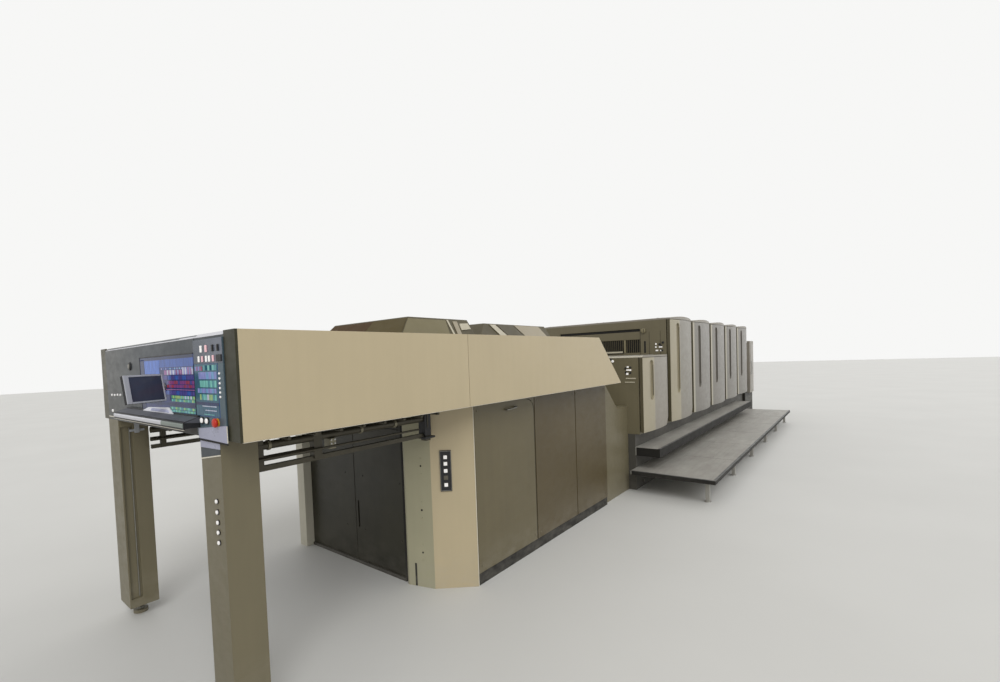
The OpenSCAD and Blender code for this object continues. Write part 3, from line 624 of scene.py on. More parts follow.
def heads_tree():
    """A stepped round or many-sided head on each point, standing out along the point's facing"""
    tree, ins, out = geometry_tree("heads on points", [
        ("Radius", "NodeSocketFloat", 0.007), ("Height", "NodeSocketFloat", 0.004),
                                                       ("Sides", "NodeSocketInt", 12),
        ("Recess", "NodeSocketFloat", 0.5), ("Finish", "NodeSocketMaterial", None)])
    half = sums(tree, "MULTIPLY", ins["Height"], 0.5)
    head = add_node(tree, "GeometryNodeMeshCylinder", {"Vertices": ins["Sides"], "Radius": ins["Radius"],
                                                       "Depth": ins["Height"]})
    crown = add_node(tree, "GeometryNodeMeshCone", {
        "Vertices": ins["Sides"], "Radius Top": sums(tree, "MULTIPLY", ins["Radius"], 0.82),
        "Radius Bottom": ins["Radius"], "Depth": sums(tree, "MULTIPLY", ins["Height"], 0.3)})
    lift = add_node(tree, "ShaderNodeCombineXYZ", {"Z": ins["Height"]}).outputs[0]
    raised = add_node(tree, "GeometryNodeTransform", {"Geometry": crown.outputs["Mesh"],
                                                      "Translation": lift})
    middle = add_node(tree, "ShaderNodeCombineXYZ", {"Z": half}).outputs[0]
    base = add_node(tree, "GeometryNodeTransform", {"Geometry": head.outputs["Mesh"], "Translation": middle})
    socket = add_node(tree, "GeometryNodeMeshCylinder", {
        "Vertices": 6, "Radius": sums(tree, "MULTIPLY", ins["Radius"], ins["Recess"]),
        "Depth": sums(tree, "MULTIPLY", ins["Height"], 0.3)})
    above = sums(tree, "MULTIPLY", ins["Height"], 1.2)
    top = add_node(tree, "ShaderNodeCombineXYZ", {"Z": above}).outputs[0]
    boss = add_node(tree, "GeometryNodeTransform", {"Geometry": socket.outputs["Mesh"], "Translation": top})
    whole = add_node(tree, "GeometryNodeJoinGeometry")
    for part in (base, raised, boss):
        tree.links.new(part.outputs[0], whole.inputs[0])
    facing = add_node(tree, "GeometryNodeInputNamedAttribute", {"Name": "facing"}, data_type="FLOAT_VECTOR")
    turn = add_node(tree, "FunctionNodeAlignRotationToVector", {"Vector": facing.outputs[0]}, axis="Z")
    put = add_node(tree, "GeometryNodeInstanceOnPoints", {"Points": ins["Geometry"],
                                                          "Instance": whole.outputs[0],
                                                          "Rotation": turn.outputs[0]})
    return close_tree(tree, put.outputs[0], ins, out)


def bars_tree():
    """Blocks on a grid of points: a row of slats, or rows of keys or buttons"""
    tree, ins, out = geometry_tree("bars in rows", [
        ("Start", "NodeSocketVector", (0, 0, 0)), ("Size", "NodeSocketVector", (0.01, 0.01, 0.01)),
        ("Count", "NodeSocketInt", 5), ("Step", "NodeSocketVector", (0.03, 0, 0)),
        ("Rows", "NodeSocketInt", 1), ("Row Step", "NodeSocketVector", (0, 0.03, 0)),
        ("Turn", "NodeSocketVector", (0, 0, 0)), ("Finish", "NodeSocketMaterial", None)])
    row = add_node(tree, "GeometryNodeMeshLine", {"Count": ins["Count"], "Start Location": ins["Start"],
                                                  "Offset": ins["Step"]}).outputs[0]
    rows = add_node(tree, "GeometryNodeMeshLine", {"Count": ins["Rows"],
                                                   "Offset": ins["Row Step"]}).outputs[0]
    grid = add_node(tree, "GeometryNodeInstanceOnPoints", {"Points": rows, "Instance": row}).outputs[0]
    points = add_node(tree, "GeometryNodeRealizeInstances", {"Geometry": grid}).outputs[0]
    bar = add_node(tree, "GeometryNodeMeshCube", {"Size": ins["Size"]}).outputs["Mesh"]
    turned = add_node(tree, "GeometryNodeTransform", {"Geometry": bar, "Rotation": ins["Turn"]}).outputs[0]
    put = add_node(tree, "GeometryNodeInstanceOnPoints", {"Points": points, "Instance": turned}).outputs[0]
    return close_tree(tree, put, ins, out)


def grown(maker, points, facing, finish, settings):
    """Runs a tree on points and returns the result as a plain mesh object"""
    if maker not in TREES:
        TREES[maker] = maker()
    tree = TREES[maker]
    data = bpy.data.meshes.new("points")
    data.from_pydata([tuple(p) for p in points] or [(0, 0, 0)], [], [])
    if facing:
        data.attributes.new("facing", "FLOAT_VECTOR", "POINT").data.foreach_set(
            "vector", [n for f in facing for n in f])
    seed = bpy.data.objects.new("points", data)
    bpy.context.scene.collection.objects.link(seed)
    grow = seed.modifiers.new("grow", "NODES")
    grow.node_group = tree
    names = {s.name: s.identifier for s in tree.interface.items_tree if s.in_out == "INPUT"}
    for label, value in dict(settings, Finish=FINISH[finish]).items():
        grow[names[label]] = value
    bpy.context.view_layer.update()
    graph = bpy.context.evaluated_depsgraph_get()
    mesh = bpy.data.meshes.new_from_object(seed.evaluated_get(graph))
    bpy.data.objects.remove(seed)
    return bpy.data.objects.new("grown", mesh)


def heads(points, facing, finish, radius, height, sides=12, recess=0.5):
    """Screw heads, lamps or buttons at points in press millimetres"""
    normals = facing if isinstance(facing[0], (tuple, Vector)) else [facing] * len(points)
    return grown(heads_tree, [place(*p) for p in points], [tuple(n) for n in normals], finish,
                 {"Radius": radius * MM, "Height": height * MM, "Sides": sides, "Recess": recess})


def bars(start, size, count, step, finish, rows=1, row_step=(0, 0, 0), turn=(0, 0, 0)):
    """Slats, keys or studs in rows, in press millimetres"""
    return grown(bars_tree, [], None, finish, {
        "Start": place(*start), "Size": Vector(size) * MM, "Count": count, "Step": Vector(step) * MM,
        "Rows": rows, "Row Step": Vector(row_step) * MM, "Turn": Vector(turn)})


def collect(name, finish, slot, objects, body=BODY, smooth=False):
    """Joins grown meshes of one body in one piece"""
    shape = Shape()
    for thing in objects:
        shape.join(thing)
    return shape.make(name, finish, slot, body, smooth=smooth)


def blocks(name, finish, slot, boxes, body=BODY, rounding=0.0, spot=None):
    """Blocks as one piece, each given by its reach along, across and up, in a turned spot if one is given"""
    shape = Shape()
    for x, y, z in boxes:
        faces = shape.block(x, y, z)
        if spot:
            shape.moved(spot, faces)
    return shape.make(name, finish, slot, body, rounding)


def turned_parts(name, finish, slot, parts, sides=28):
    """Turned parts as one piece, each given by its start, its direction and its steps"""
    shape = Shape()
    for part in parts:
        shape.turned(*part, sides)
    return shape.make(name, finish, slot, smooth=True)


def screws(name, finish, slot, points, facing, height, sides=12, recess=0.45, radius=None):
    """Heads at points as one piece; without a radius they are cover screws"""
    grown_heads = heads(points, facing, finish, radius or sizes().screw / MM, height, sides, recess)
    return collect(name, finish, slot, [grown_heads])


def sides_of(node):
    """Both sides of a CAD node across the press, each with the way that it faces"""
    near, far = span(node, 1)
    return (near, -1), (far, 1)


def outwards(y, out, first, second):
    """The reach between two distances outwards from a side of the press"""
    return sorted((y + out * first, y + out * second))


def corners(x, z, inset):
    """The four spots at an inset from a panel's corners"""
    return [(a, b) for a in (x[0] + inset, x[1] - inset) for b in (z[0] + inset, z[1] - inset)]


def oblong(y, z, wide, high):
    """The reach across and up of a box around a spot"""
    return (y - wide / 2, y + wide / 2), (z - high / 2, z + high / 2)


# Operators

class Maker(bpy.types.Operator):
    """Shared behaviour of the press's operators"""
    bl_options = {"REGISTER", "UNDO"}

    def execute(self, context):
        self.build()
        return {"FINISHED"}


class PRESS_OT_stage(Maker):
    """Adds the floor, the lights and the camera"""
    bl_idname = "press.stage"
    bl_label = "Stage"

    def build(self):
        scene = bpy.context.scene
        scene.view_settings.view_transform = "Standard"
        self.camera(scene)
        self.floor(scene)
        self.lights(scene)

    def camera(self, scene):
        yaw, pitch, roll = (math.radians(a) for a in (40.637, -2.3095, -2.1863))
        ahead = Vector((math.cos(yaw) * math.cos(pitch), math.sin(yaw) * math.cos(pitch), math.sin(pitch)))
        level = Vector((math.sin(yaw), -math.cos(yaw), 0))
        upward = level.cross(ahead)
        right = level * math.cos(roll) + upward * math.sin(roll)
        up = upward * math.cos(roll) - level * math.sin(roll)
        sensor, photo_wide, focal_pixels = 36, 1000, 470.52
        data = bpy.data.cameras.new("camera")
        data.sensor_width = sensor
        data.lens = focal_pixels * sensor / photo_wide
        data.shift_x, data.shift_y = 0.04375, 0.0375
        data.clip_end = 300
        camera = bpy.data.objects.new("camera", data)
        eye = CORNER + Vector((-0.9107, -2.0076, 1.7108))
        rows = [(right[k], up[k], -ahead[k], eye[k]) for k in range(3)]
        camera.matrix_world = Matrix(rows + [(0, 0, 0, 1)])
        scene.collection.objects.link(camera)
        scene.camera = camera

    def floor(self, scene):
        tree, shader = blank("studio floor")
        where = object_place(tree)
        tone = blend_colours(tree, band(tree, noise(tree, where, 0.7, 4), 0.3, 0.7),
                             (*tint(209, 209, 206), 1), (*tint(213, 213, 210), 1))
        tree.links.new(tone, shader.inputs["Base Color"])
        shader.inputs["Roughness"].default_value = 0.6
        data = bpy.data.meshes.new("floor")
        data.from_pydata([(-60, -60, 0), (60, -60, 0), (60, 60, 0), (-60, 60, 0)], [], [(0, 1, 2, 3)])
        data.materials.append(FINISH["studio floor"])
        floor = bpy.data.objects.new("floor", data)
        scene.collection.objects.link(floor)

    def lights(self, scene):
        world = bpy.data.worlds.new("studio")
        scene.world = world
        world.use_nodes = True
        tree = world.node_tree
        light = tree.nodes["Background"]
        light.inputs[0].default_value = (1, 0.985, 0.96, 1)
        light.inputs[1].default_value = 0.62
        plain = add_node(tree, "ShaderNodeBackground", {"Color": (0.93, 0.93, 0.92, 1), "Strength": 1.0})
        path = add_node(tree, "ShaderNodeLightPath").outputs
        seen = sums(tree, "MAXIMUM", path["Is Camera Ray"], sums(tree, "MAXIMUM", path["Is Glossy Ray"],
                                                                path["Is Transmission Ray"]))
        mix = add_node(tree, "ShaderNodeMixShader", {0: seen, 1: light.outputs[0], 2: plain.outputs[0]})
        tree.links.new(mix.outputs[0], tree.nodes["World Output"].inputs["Surface"])
        for name, turn, energy, spread in (("key", (0.75, -0.45, -0.25), 1.1, 0.7),
                                           ("fill", (0.9, 0.3, 0.9), 0.45, 1.2)):
            data = bpy.data.lights.new(name, "SUN")
            data.energy, data.angle = energy, spread
            lamp = bpy.data.objects.new(name, data)
            lamp.rotation_euler = turn
            scene.collection.objects.link(lamp)


class PRESS_OT_finishes(Maker):
    """Makes the finishes and gives them to the CAD solids"""
    bl_idname = "press.finishes"
    bl_label = "Finishes"

    def build(self):
        make_finishes()
        towers = [f"tower_{i}" for i in range(1, TOWERS + 1)]
        for finish, nodes in {
                "guard paint": ["side_guards"],
                "trim paint": ["corner_trims"],
                "hood paint": ["top_hoods"],
                "olive paint": ["delivery_post_drive", "delivery_post_operator", "link_housing", "low_unit",
                                "feeder_frame", *towers],
                "slate paint": ["front_panel"],
                "column plate": ["control_column"],
                "panel glass": ["main_display"],
                "red plastic": ["emergency_stop"],
                "black plastic": ["sloped_ledge", "pillar_buttons"],
                "grey plastic": ["small_monitor"],
                "white plastic": ["keyboard"],
                "beige paint": ["fascia_operator", "fascia_drive", "corner_pillar"],
                "wall paint": ["back_wall"],
                "charcoal paint": ["delivery_housing", "rear_housing", "infeed_body", "feeder_head"],
                "rail paint": ["pile_rails"],
                "bright steel": ["feed_board"],
                "grey paint": ["pillar_guides"],
                "first door paint": ["tower_1_door"],
                "door paint": [f"{tower}_door" for tower in towers[1:]],
                "low door paint": [LOW_DOOR],
                "pale paint": ["tower_roofs", "drive_covers", "feeder_covers"],
                "base iron": ["base_frame"],
                "tread plate": ["inner_step", "outer_platform"],
                "ply wood": ["pile_board"]}.items():
            for node in nodes:
                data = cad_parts[node].data
                data.materials.clear()
                data.materials.append(FINISH[finish])


class PRESS_OT_front(Maker):
    """Dresses the front panel: a silver strip on the top edge as painted highlight, a dark sheet of painted
    shade under the ledge, lit screen, lamps, buttons and the emergency stop
    """
    bl_idname = "press.front"
    bl_label = "Front panel"

    def build(self):
        top = span("front_panel", 2)[1]
        face = span("front_panel", 0)[0]
        shelf = top - 16
        near, edge = 114, 436
        # A silver strip on the panel's top chamfer: painted highlight, full width by the control column and
        # narrower towards the far end
        strip = Shape()
        for (y0, y1), reach in (((near, edge - 2), 1.0), ((edge + 2, 640), 0.5),
                                ((642, PRESS_W - near), 0.2)):
            strip.across([(face - 1.2, shelf - 1), (face + 20 * reach, shelf + 16 * reach + 1),
                          (face + 20 * reach, shelf + 16 * reach), (face, shelf - 1)], (y0, y1))
        strip.make("panel_top_highlight", "brushed aluminium", "bright_steel")
        upper = Shape()
        upper.on_front([(near + 1, 1736), (edge - 1, 1736), (edge - 1, 1849), (near + 1, 1849)],
                       (-7.0, -6.0))
        upper.make("upper_lamp_plate", "upper plate", "slate_paint", rounding=1)
        plates = Shape()
        plates.on_front([(106, 1377), (421, 1380), (421, 1427), (106, 1457)], (-8.5, -6.4))
        plates.on_front([(206, 1340), (424, 1334), (424, 1377), (206, 1373)], (-2.4, -0.2))
        plates.make("control_plates", "lilac plate", "slate_paint", rounding=1)
        self.screen()
        self.lamps()
        self.stop_button()
        self.marks()
        # A dark sheet on the panel under the ledge: painted shade
        blocks("panel_lower_painted_shade", "painted ledge shade", "charcoal_paint",
               [((-1.6, -0.1), (426, 1480), (FASCIA_BOTTOM + 2, 1458))], rounding=0.6)

    def screen(self):
        palette = {"navy": (20, 34, 70), "blue": (52, 86, 160), "bright": (72, 112, 196),
                   "violet": (74, 66, 132),
                   "magenta": (132, 58, 116), "pink": (158, 104, 152), "white": (202, 204, 218),
                   "teal": (78, 146, 150), "mint": (118, 190, 176), "green": (88, 160, 118),
                   "lime": (158, 190, 118), "lilac": (136, 142, 196), "deep": (34, 44, 92),
                   "sea": (48, 92, 104),
                   "red": (150, 54, 66), "sky": (116, 160, 200)}
        shape = Shape()
        layer = shape.mesh.loops.layers.float_color.new("cell_colour")
        order = {"deep": 0, "sea": 0, "navy": 1, "blue": 1, "bright": 2}

        def cell(y0, y1, z0, z1, name, level=None):
            lift = 0.4 * (order.get(name, 3) if level is None else level)
            for face in shape.block((-7.2 - lift, -6.4), (y0, y1), (z0, z1)):
                for loop in face.loops:
                    loop[layer] = (*tint(*palette[name]), 1)

        def row(y0, y1, z0, z1, names, count, fill=0.84):
            pitch = (y1 - y0) / count
            for k in range(count):
                cell(y0 + k * pitch, y0 + (k + fill) * pitch, z0, z1, names[(k * 7 + k // 3) % len(names)])

        cell(438, 1240, 1490, 1789, "deep")
        cell(174, 434, 1490, 1735, "sea")
        cell(1164, 1240, 1490, 1776, "navy")
        cell(440, 1240, 1772, 1788, "navy")
        cell(442, 1160, 1728, 1770, "blue")
        cell(915, 1156, 1694, 1768, "bright")
        row(448, 900, 1716, 1724, ("sky", "blue", "lilac"), 14, 0.6)
        row(594, 845, 1688, 1712, ("pink", "white", "magenta", "pink", "lilac"), 12)
        row(450, 586, 1688, 1724, ("white", "pink", "lilac"), 8, 0.8)
        row(442, 899, 1662, 1683, ("violet", "violet", "blue"), 9, 0.96)
        row(442, 811, 1638, 1656, ("magenta", "magenta", "red", "violet"), 14, 0.94)
        row(442, 811, 1620, 1635, ("magenta", "red", "magenta"), 11, 0.96)
        cell(442, 881, 1608, 1612, "pink")
        row(442, 881, 1583, 1603, ("violet", "blue"), 9, 0.95)
        row(446, 756, 1564, 1579, ("lime", "mint", "green", "lime", "white"), 17, 0.8)
        row(446, 756, 1548, 1561, ("green", "mint", "teal", "lime"), 17, 0.8)
        cell(442, 1155, 1524, 1540, "navy")
        row(446, 780, 1507, 1519, ("green", "mint", "teal", "lime"), 18, 0.82)
        row(446, 780, 1493, 1504, ("teal", "green", "mint"), 18, 0.82)
        row(184, 330, 1704, 1728, ("teal", "mint", "sea"), 6, 0.86)
        row(338, 428, 1704, 1724, ("red", "pink", "lilac"), 5, 0.7)
        row(184, 385, 1664, 1697, ("lilac", "sky", "lilac"), 7, 0.92)
        row(190, 374, 1626, 1657, ("mint", "teal", "mint"), 8, 0.93)
        row(194, 404, 1599, 1620, ("lilac", "sky"), 9, 0.9)
        row(198, 384, 1566, 1592, ("mint", "white", "lime", "teal"), 9, 0.8)
        cell(176, 430, 1541, 1556, "navy")
        cell(202, 358, 1535, 1539, "white")
        cell(204, 326, 1516, 1520, "white")
        cell(230, 340, 1497, 1500, "mint")
        shape.make("display_cells", "screen glass", "screen_glass")
        blocks("display_bezel", "black plastic", "black_plastic", [
            ((-9, -5.5), (1236, 1245), (1486, 1793)), ((-9, -5.5), (436, 1245), (1787, 1793)),
            ((-9, -5.5), (435, 438), (1490, 1735))], rounding=1)

    def lamps(self):
        lit, pink, dark = Shape(), Shape(), Shape()
        x = (-13, -7)
        lit.block(x, (327, 343), (1789, 1821))
        pink.block(x, (271, 287), (1789, 1821))
        dark.block(x, (200, 216), (1790, 1820))
        dark.block(x, (146, 160), (1790, 1820))
        for y, shape in ((365, lit), (325, pink), (280, lit), (247, lit), (206, pink)):
            shape.block(x, (y - 6, y + 6), (1744, 1772))
        dark.block((-12, -7), (120, 172), (1743, 1774))
        lit.make("lamps_white", "white lamp", "white_plastic", rounding=1.5)
        pink.make("lamps_pink", "pink lamp", "white_plastic", rounding=1.5)
        dark.make("lamps_dark", "black plastic", "black_plastic", rounding=1.5)
        white = [heads([(-6, 154, z) for z in (1689, 1667, 1645, 1624, 1604, 1584)], TO_FRONT,
                       "white lamp",
                       5, 4, 14, 0.3),
                 heads([(0, y, z) for y, z in ((1889, 1559), (1824, 1559), (1757, 1562), (1693, 1562))],
                       TO_FRONT, "grey plastic", 7, 5, 16, 0.3),
                 heads([(0, 1890, 1451)], TO_FRONT, "grey plastic", 9, 6, 18, 0.3)]
        collect("marker_lamps", "white lamp", "white_plastic", white)
        keys = ((-6, 366, 1468), (-6, 311, 1468))
        turned_parts("white_buttons", "white lamp", "white_plastic",
                     [(at, TO_FRONT, ((0, 12), (9, 12), (11, 10))) for at in keys])
        turned_parts("button_rings", "black plastic", "black_plastic",
                     [(at, TO_FRONT, ((0, 17), (4, 17), (5, 15))) for at in keys]
                     + [((0, 1457, 1745), TO_FRONT, ((0, 26), (4, 26), (7, 22)))])
        turned_parts("panel_lock", "dull steel", "bright_steel",
                     [((-7, 1457, 1745), TO_FRONT, ((0, 15), (3, 15), (4, 12)))])

    def stop_button(self):
        (y0, y1), (z0, z1) = span("emergency_stop", 1), span("emergency_stop", 2)
        y, z, r = (y0 + y1) / 2, (z0 + z1) / 2, (y1 - y0) / 2
        turned_parts("stop_collar", "yellow plastic", "red_plastic",
                     [((-6.2, y, z), TO_FRONT, ((0, r * 0.94), (2, r * 0.94), (4, r * 0.8),
                                                  (6, r * 0.62)))])
        steps = ((0, r * 0.6), (3, r * 0.62), (4.5, r * 0.94), (7, r), (13, r * 0.99), (17, r * 0.86),
                 (19.4, r * 0.55), (20, r * 0.2))
        head = turned_parts("stop_head", "red plastic", "red_plastic", [((-10, y, z), TO_FRONT, steps)])
        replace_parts(head, "emergency_stop")

    def marks(self):
        edge = span("control_column", 1)[1]
        blocks("panel_gaps", "dark gap", "black_plastic",
               [((-1.0, 0.2), (edge + 0.5, edge + 3.5), (1793, 1861)),
                ((-9.4, -6.0), (104, 423), (1370, 1376))])
        pale = Shape()
        pale.on_front([(426, 1275), (206, 1311), (206, 1317), (426, 1281)], (-3.0, -0.2))
        pale.block((-2, 0), (1500, 1996), (1405, 1411))
        pale.block((-9.8, -6.6), (104, 108), (1380, 1455))
        pale.make("panel_pale_lines", "white edge", "white_plastic")
        plate = Shape()
        plate.on_front([(208, 1312), (424, 1284), (424, 1333), (208, 1339)], (-1.6, -0.2))
        plate.make("post_top_plate", "slate paint", "slate_paint", rounding=0.5)


class PRESS_OT_ledge(Maker):
    """Dresses the sloped ledge, and builds the keyboard and the small monitor on it"""
    bl_idname = "press.ledge"
    bl_label = "Ledge, keyboard and monitor"

    def build(self):
        near, far = span("sloped_ledge", 1)
        out = span("sloped_ledge", 0)[0]
        low, high = span("sloped_ledge", 2)
        front_top = low + 30
        # One front strip in two finishes, bright on the far part and dull on the near part: painted
        # reflection and shade on one extrusion
        for name, finish, slot, y in (("ledge_front_strip", "brushed aluminium", "bright_steel",
                                       (690, far - 2)),
                                      ("ledge_near_strip", "dull strip", "grey_paint", (near + 2, 689))):
            strip = Shape()
            strip.across([(out - 3, low + 4), (out - 5, low + 8), (out - 5, low + 19), (out - 3, low + 24),
                          (out + 0.2, low + 26), (out + 0.2, low + 3)], y)
            strip.make(name, finish, slot, rounding=0.8)
        blocks("ledge_lower_line", "white edge", "white_plastic",
               [((out + 1, out + 4), (near + 2, far + 20), (low - 8, low - 5.5))])
        blocks("ledge_black_lines", "black plastic", "black_plastic",
               [((out + 0.5, out + 8), (near + 1, far + 22), (low - 5, low + 1)),
                ((-15, -6.2), (near + 1, far - 2), (high - 2, high + 6))], rounding=0.5)
        rise = (high - front_top) / (-6 - out)

        def on_top(x, lift):
            """A point over the ledge's slope"""
            return (x, front_top + (x - out) * rise + lift)

        top = Shape()
        top.across([on_top(out + 9, 0.4), on_top(-16, 0.4), on_top(-16, 2), on_top(out + 9, 2)],
                   (near + 2, far - 3))
        top.across([(out + 3, front_top - 2), (-7, low + 20), (-7, high - 1)], (near - 1.2, near + 0.2))
        top.make("ledge_top_mat", "ledge mat", "slate_paint", rounding=0.6)
        self.keyboard()
        self.monitor()

    def keyboard(self):
        near, far = span("keyboard", 1)
        front, back = span("keyboard", 0)
        low, high = span("keyboard", 2)
        tray = Shape()
        tray.hull([[(front, near, low), (front, near, low + 6), (back, near + 95, high - 1),
                    (back, near, low)],
                   [(front, far, low), (front, far, low + 6), (back, far - 60, high - 12),
                    (back, far, low)]])
        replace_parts(tray.make("keyboard_tray", "white plastic", "white_plastic", rounding=1), "keyboard")
        keys = []
        pitch = (far - near - 190) / sizes().keys
        for k in range(3):
            z = low + 10 + k * (high - low - 20) / 4
            x = front + (back - front) * (z - low) / (high - low) - 1.5
            keys.append(bars((x, near + 70 + k * 18, z + 1), (3.5, pitch * 0.8, 4.6), sizes().keys - k,
                             (0, pitch, 0),
                             "lilac plastic"))
        collect("keyboard_keys", "lilac plastic", "white_plastic", keys)

    def monitor(self):
        turn, lean = math.radians(72), math.radians(10)
        wide, high, thick = 205, 145, 26
        centre = Vector((-120, 790, 1620))
        spot = Matrix.Translation(centre) @ Matrix.Rotation(-turn, 4, "Z") @ Matrix.Rotation(-lean, 4, "Y")

        left, rim = 26, 9
        y0, y1, z0, z1 = -wide / 2, wide / 2, -high / 2, high / 2
        front = (thick / 2 - 6, thick / 2)
        case = blocks("monitor_case", "black plastic", "black_plastic",
                      [((-thick / 2, front[0]), (y0, y1), (z0, z1))], rounding=3, spot=spot)
        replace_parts(case, "small_monitor")
        blocks("monitor_frame", "pale frame", "grey_plastic", [
            (front, (y0, y0 + left), (z0, z1)), (front, (y1 - rim, y1), (z0, z1)),
            (front, (y0 + left, y1 - rim), (z1 - rim, z1)), (front, (y0 + left, y1 - rim), (z0, z0 + rim))],
            rounding=1.5, spot=spot)
        blocks("monitor_screen", "dark screen", "screen_glass", [
            ((front[0] - 1, front[1] - 3), (y0 + left - 1, y1 - rim + 1), (z0 + rim - 1, z1 - rim + 1))],
            spot=spot)
        turned_parts("monitor_arm", "dull steel", "bright_steel",
                     [((-6.2, 850, 1620), TO_FRONT, ((0, 24), (5, 24), (6, 14), (112, 14), (114, 12))),
                      (centre, TO_FAR, ((8, 14), (70, 14), (74, 11)))])


class PRESS_OT_posts(Maker):
    """Adds the posts' buttons, guide strips, bracket, levelling nuts and rear covers"""
    bl_idname = "press.posts"
    bl_label = "Front posts"

    def build(self):
        near = span("delivery_post_operator", 1)
        far = span("delivery_post_drive", 1)
        deep = span("delivery_post_operator", 0)[1]
        spots = [(near[0] + 66, z) for z in (1092, 1041, 992, 945, 896)]
        turned_parts("post_button_rims", "black plastic", "black_plastic",
                     [((0, y, z), TO_FRONT, ((0, 13), (3, 13), (4, 11))) for y, z in spots])
        turned_parts("post_buttons", "white lamp", "white_plastic",
                     [((-3, y, z), TO_FRONT, ((0, 9), (6, 9), (7, 7))) for y, z in spots])
        blocks("post_guide_strips", "dull steel", "bright_steel",
               [(x, (y - 3, y + 7), (150, FASCIA_BOTTOM - 60))
                for y in (far[0] + 10, near[1] - 14) for x in ((58, 64), (80, 86))])
        blocks("post_bracket", "grey plastic", "grey_plastic",
               [((90, 118), (far[0] - 12, far[0] + 2), (1290, 1372)),
                ((60, 150), (far[0] - 4, far[0] + 2), (1300, 1316))], rounding=1.5)
        screws("levelling_nuts", "dull steel", "bright_steel",
               [(deep / 2, sum(y) / 2, 22) for y in (near, far)],
               UP, 14, 6, 0.7, 24)
        blocks("post_rear_covers", "olive paint", "olive_paint",
               [((deep, deep + 2), (y0 + 12, y1 - 12), (200, FASCIA_BOTTOM - 30)) for y0, y1 in (near, far)],
               rounding=0.8)


class PRESS_OT_fascias(Maker):
    """Adds a painted highlight along the fascias' lower edge, seam lining and screws"""
    bl_idname = "press.fascias"
    bl_label = "Fascias"

    def build(self):
        end = span("fascia_operator", 0)[1]
        seam = 1564
        lips, gaps, points = [], [], []
        for y, out in ((0, -1), (PRESS_W, 1)):
            for x in ((14, seam - 3), (seam + 3, end - 4)):
                lips.append((x, outwards(y, out, -1, -14), (FASCIA_BOTTOM - 3, FASCIA_BOTTOM + 0.5)))
            gaps.append(((seam - 1.6, seam + 1.6), outwards(y, out, -3, -30),
                         (FASCIA_BOTTOM + 1, FASCIA_TOP - 1)))
            points += [(x, y - out * 22, FASCIA_BOTTOM) for x in (140, 700, 1300, seam + 90, 2300, 3000)]
        # White strips along the fascias' lower edge: painted highlight
        blocks("fascia_lower_highlights", "white edge", "beige_paint", lips)
        blocks("fascia_seam_lining", "dark gap", "black_plastic", gaps)
        screws("fascia_screws", "bright steel", "bright_steel", points, DOWN, 3.5, 14)


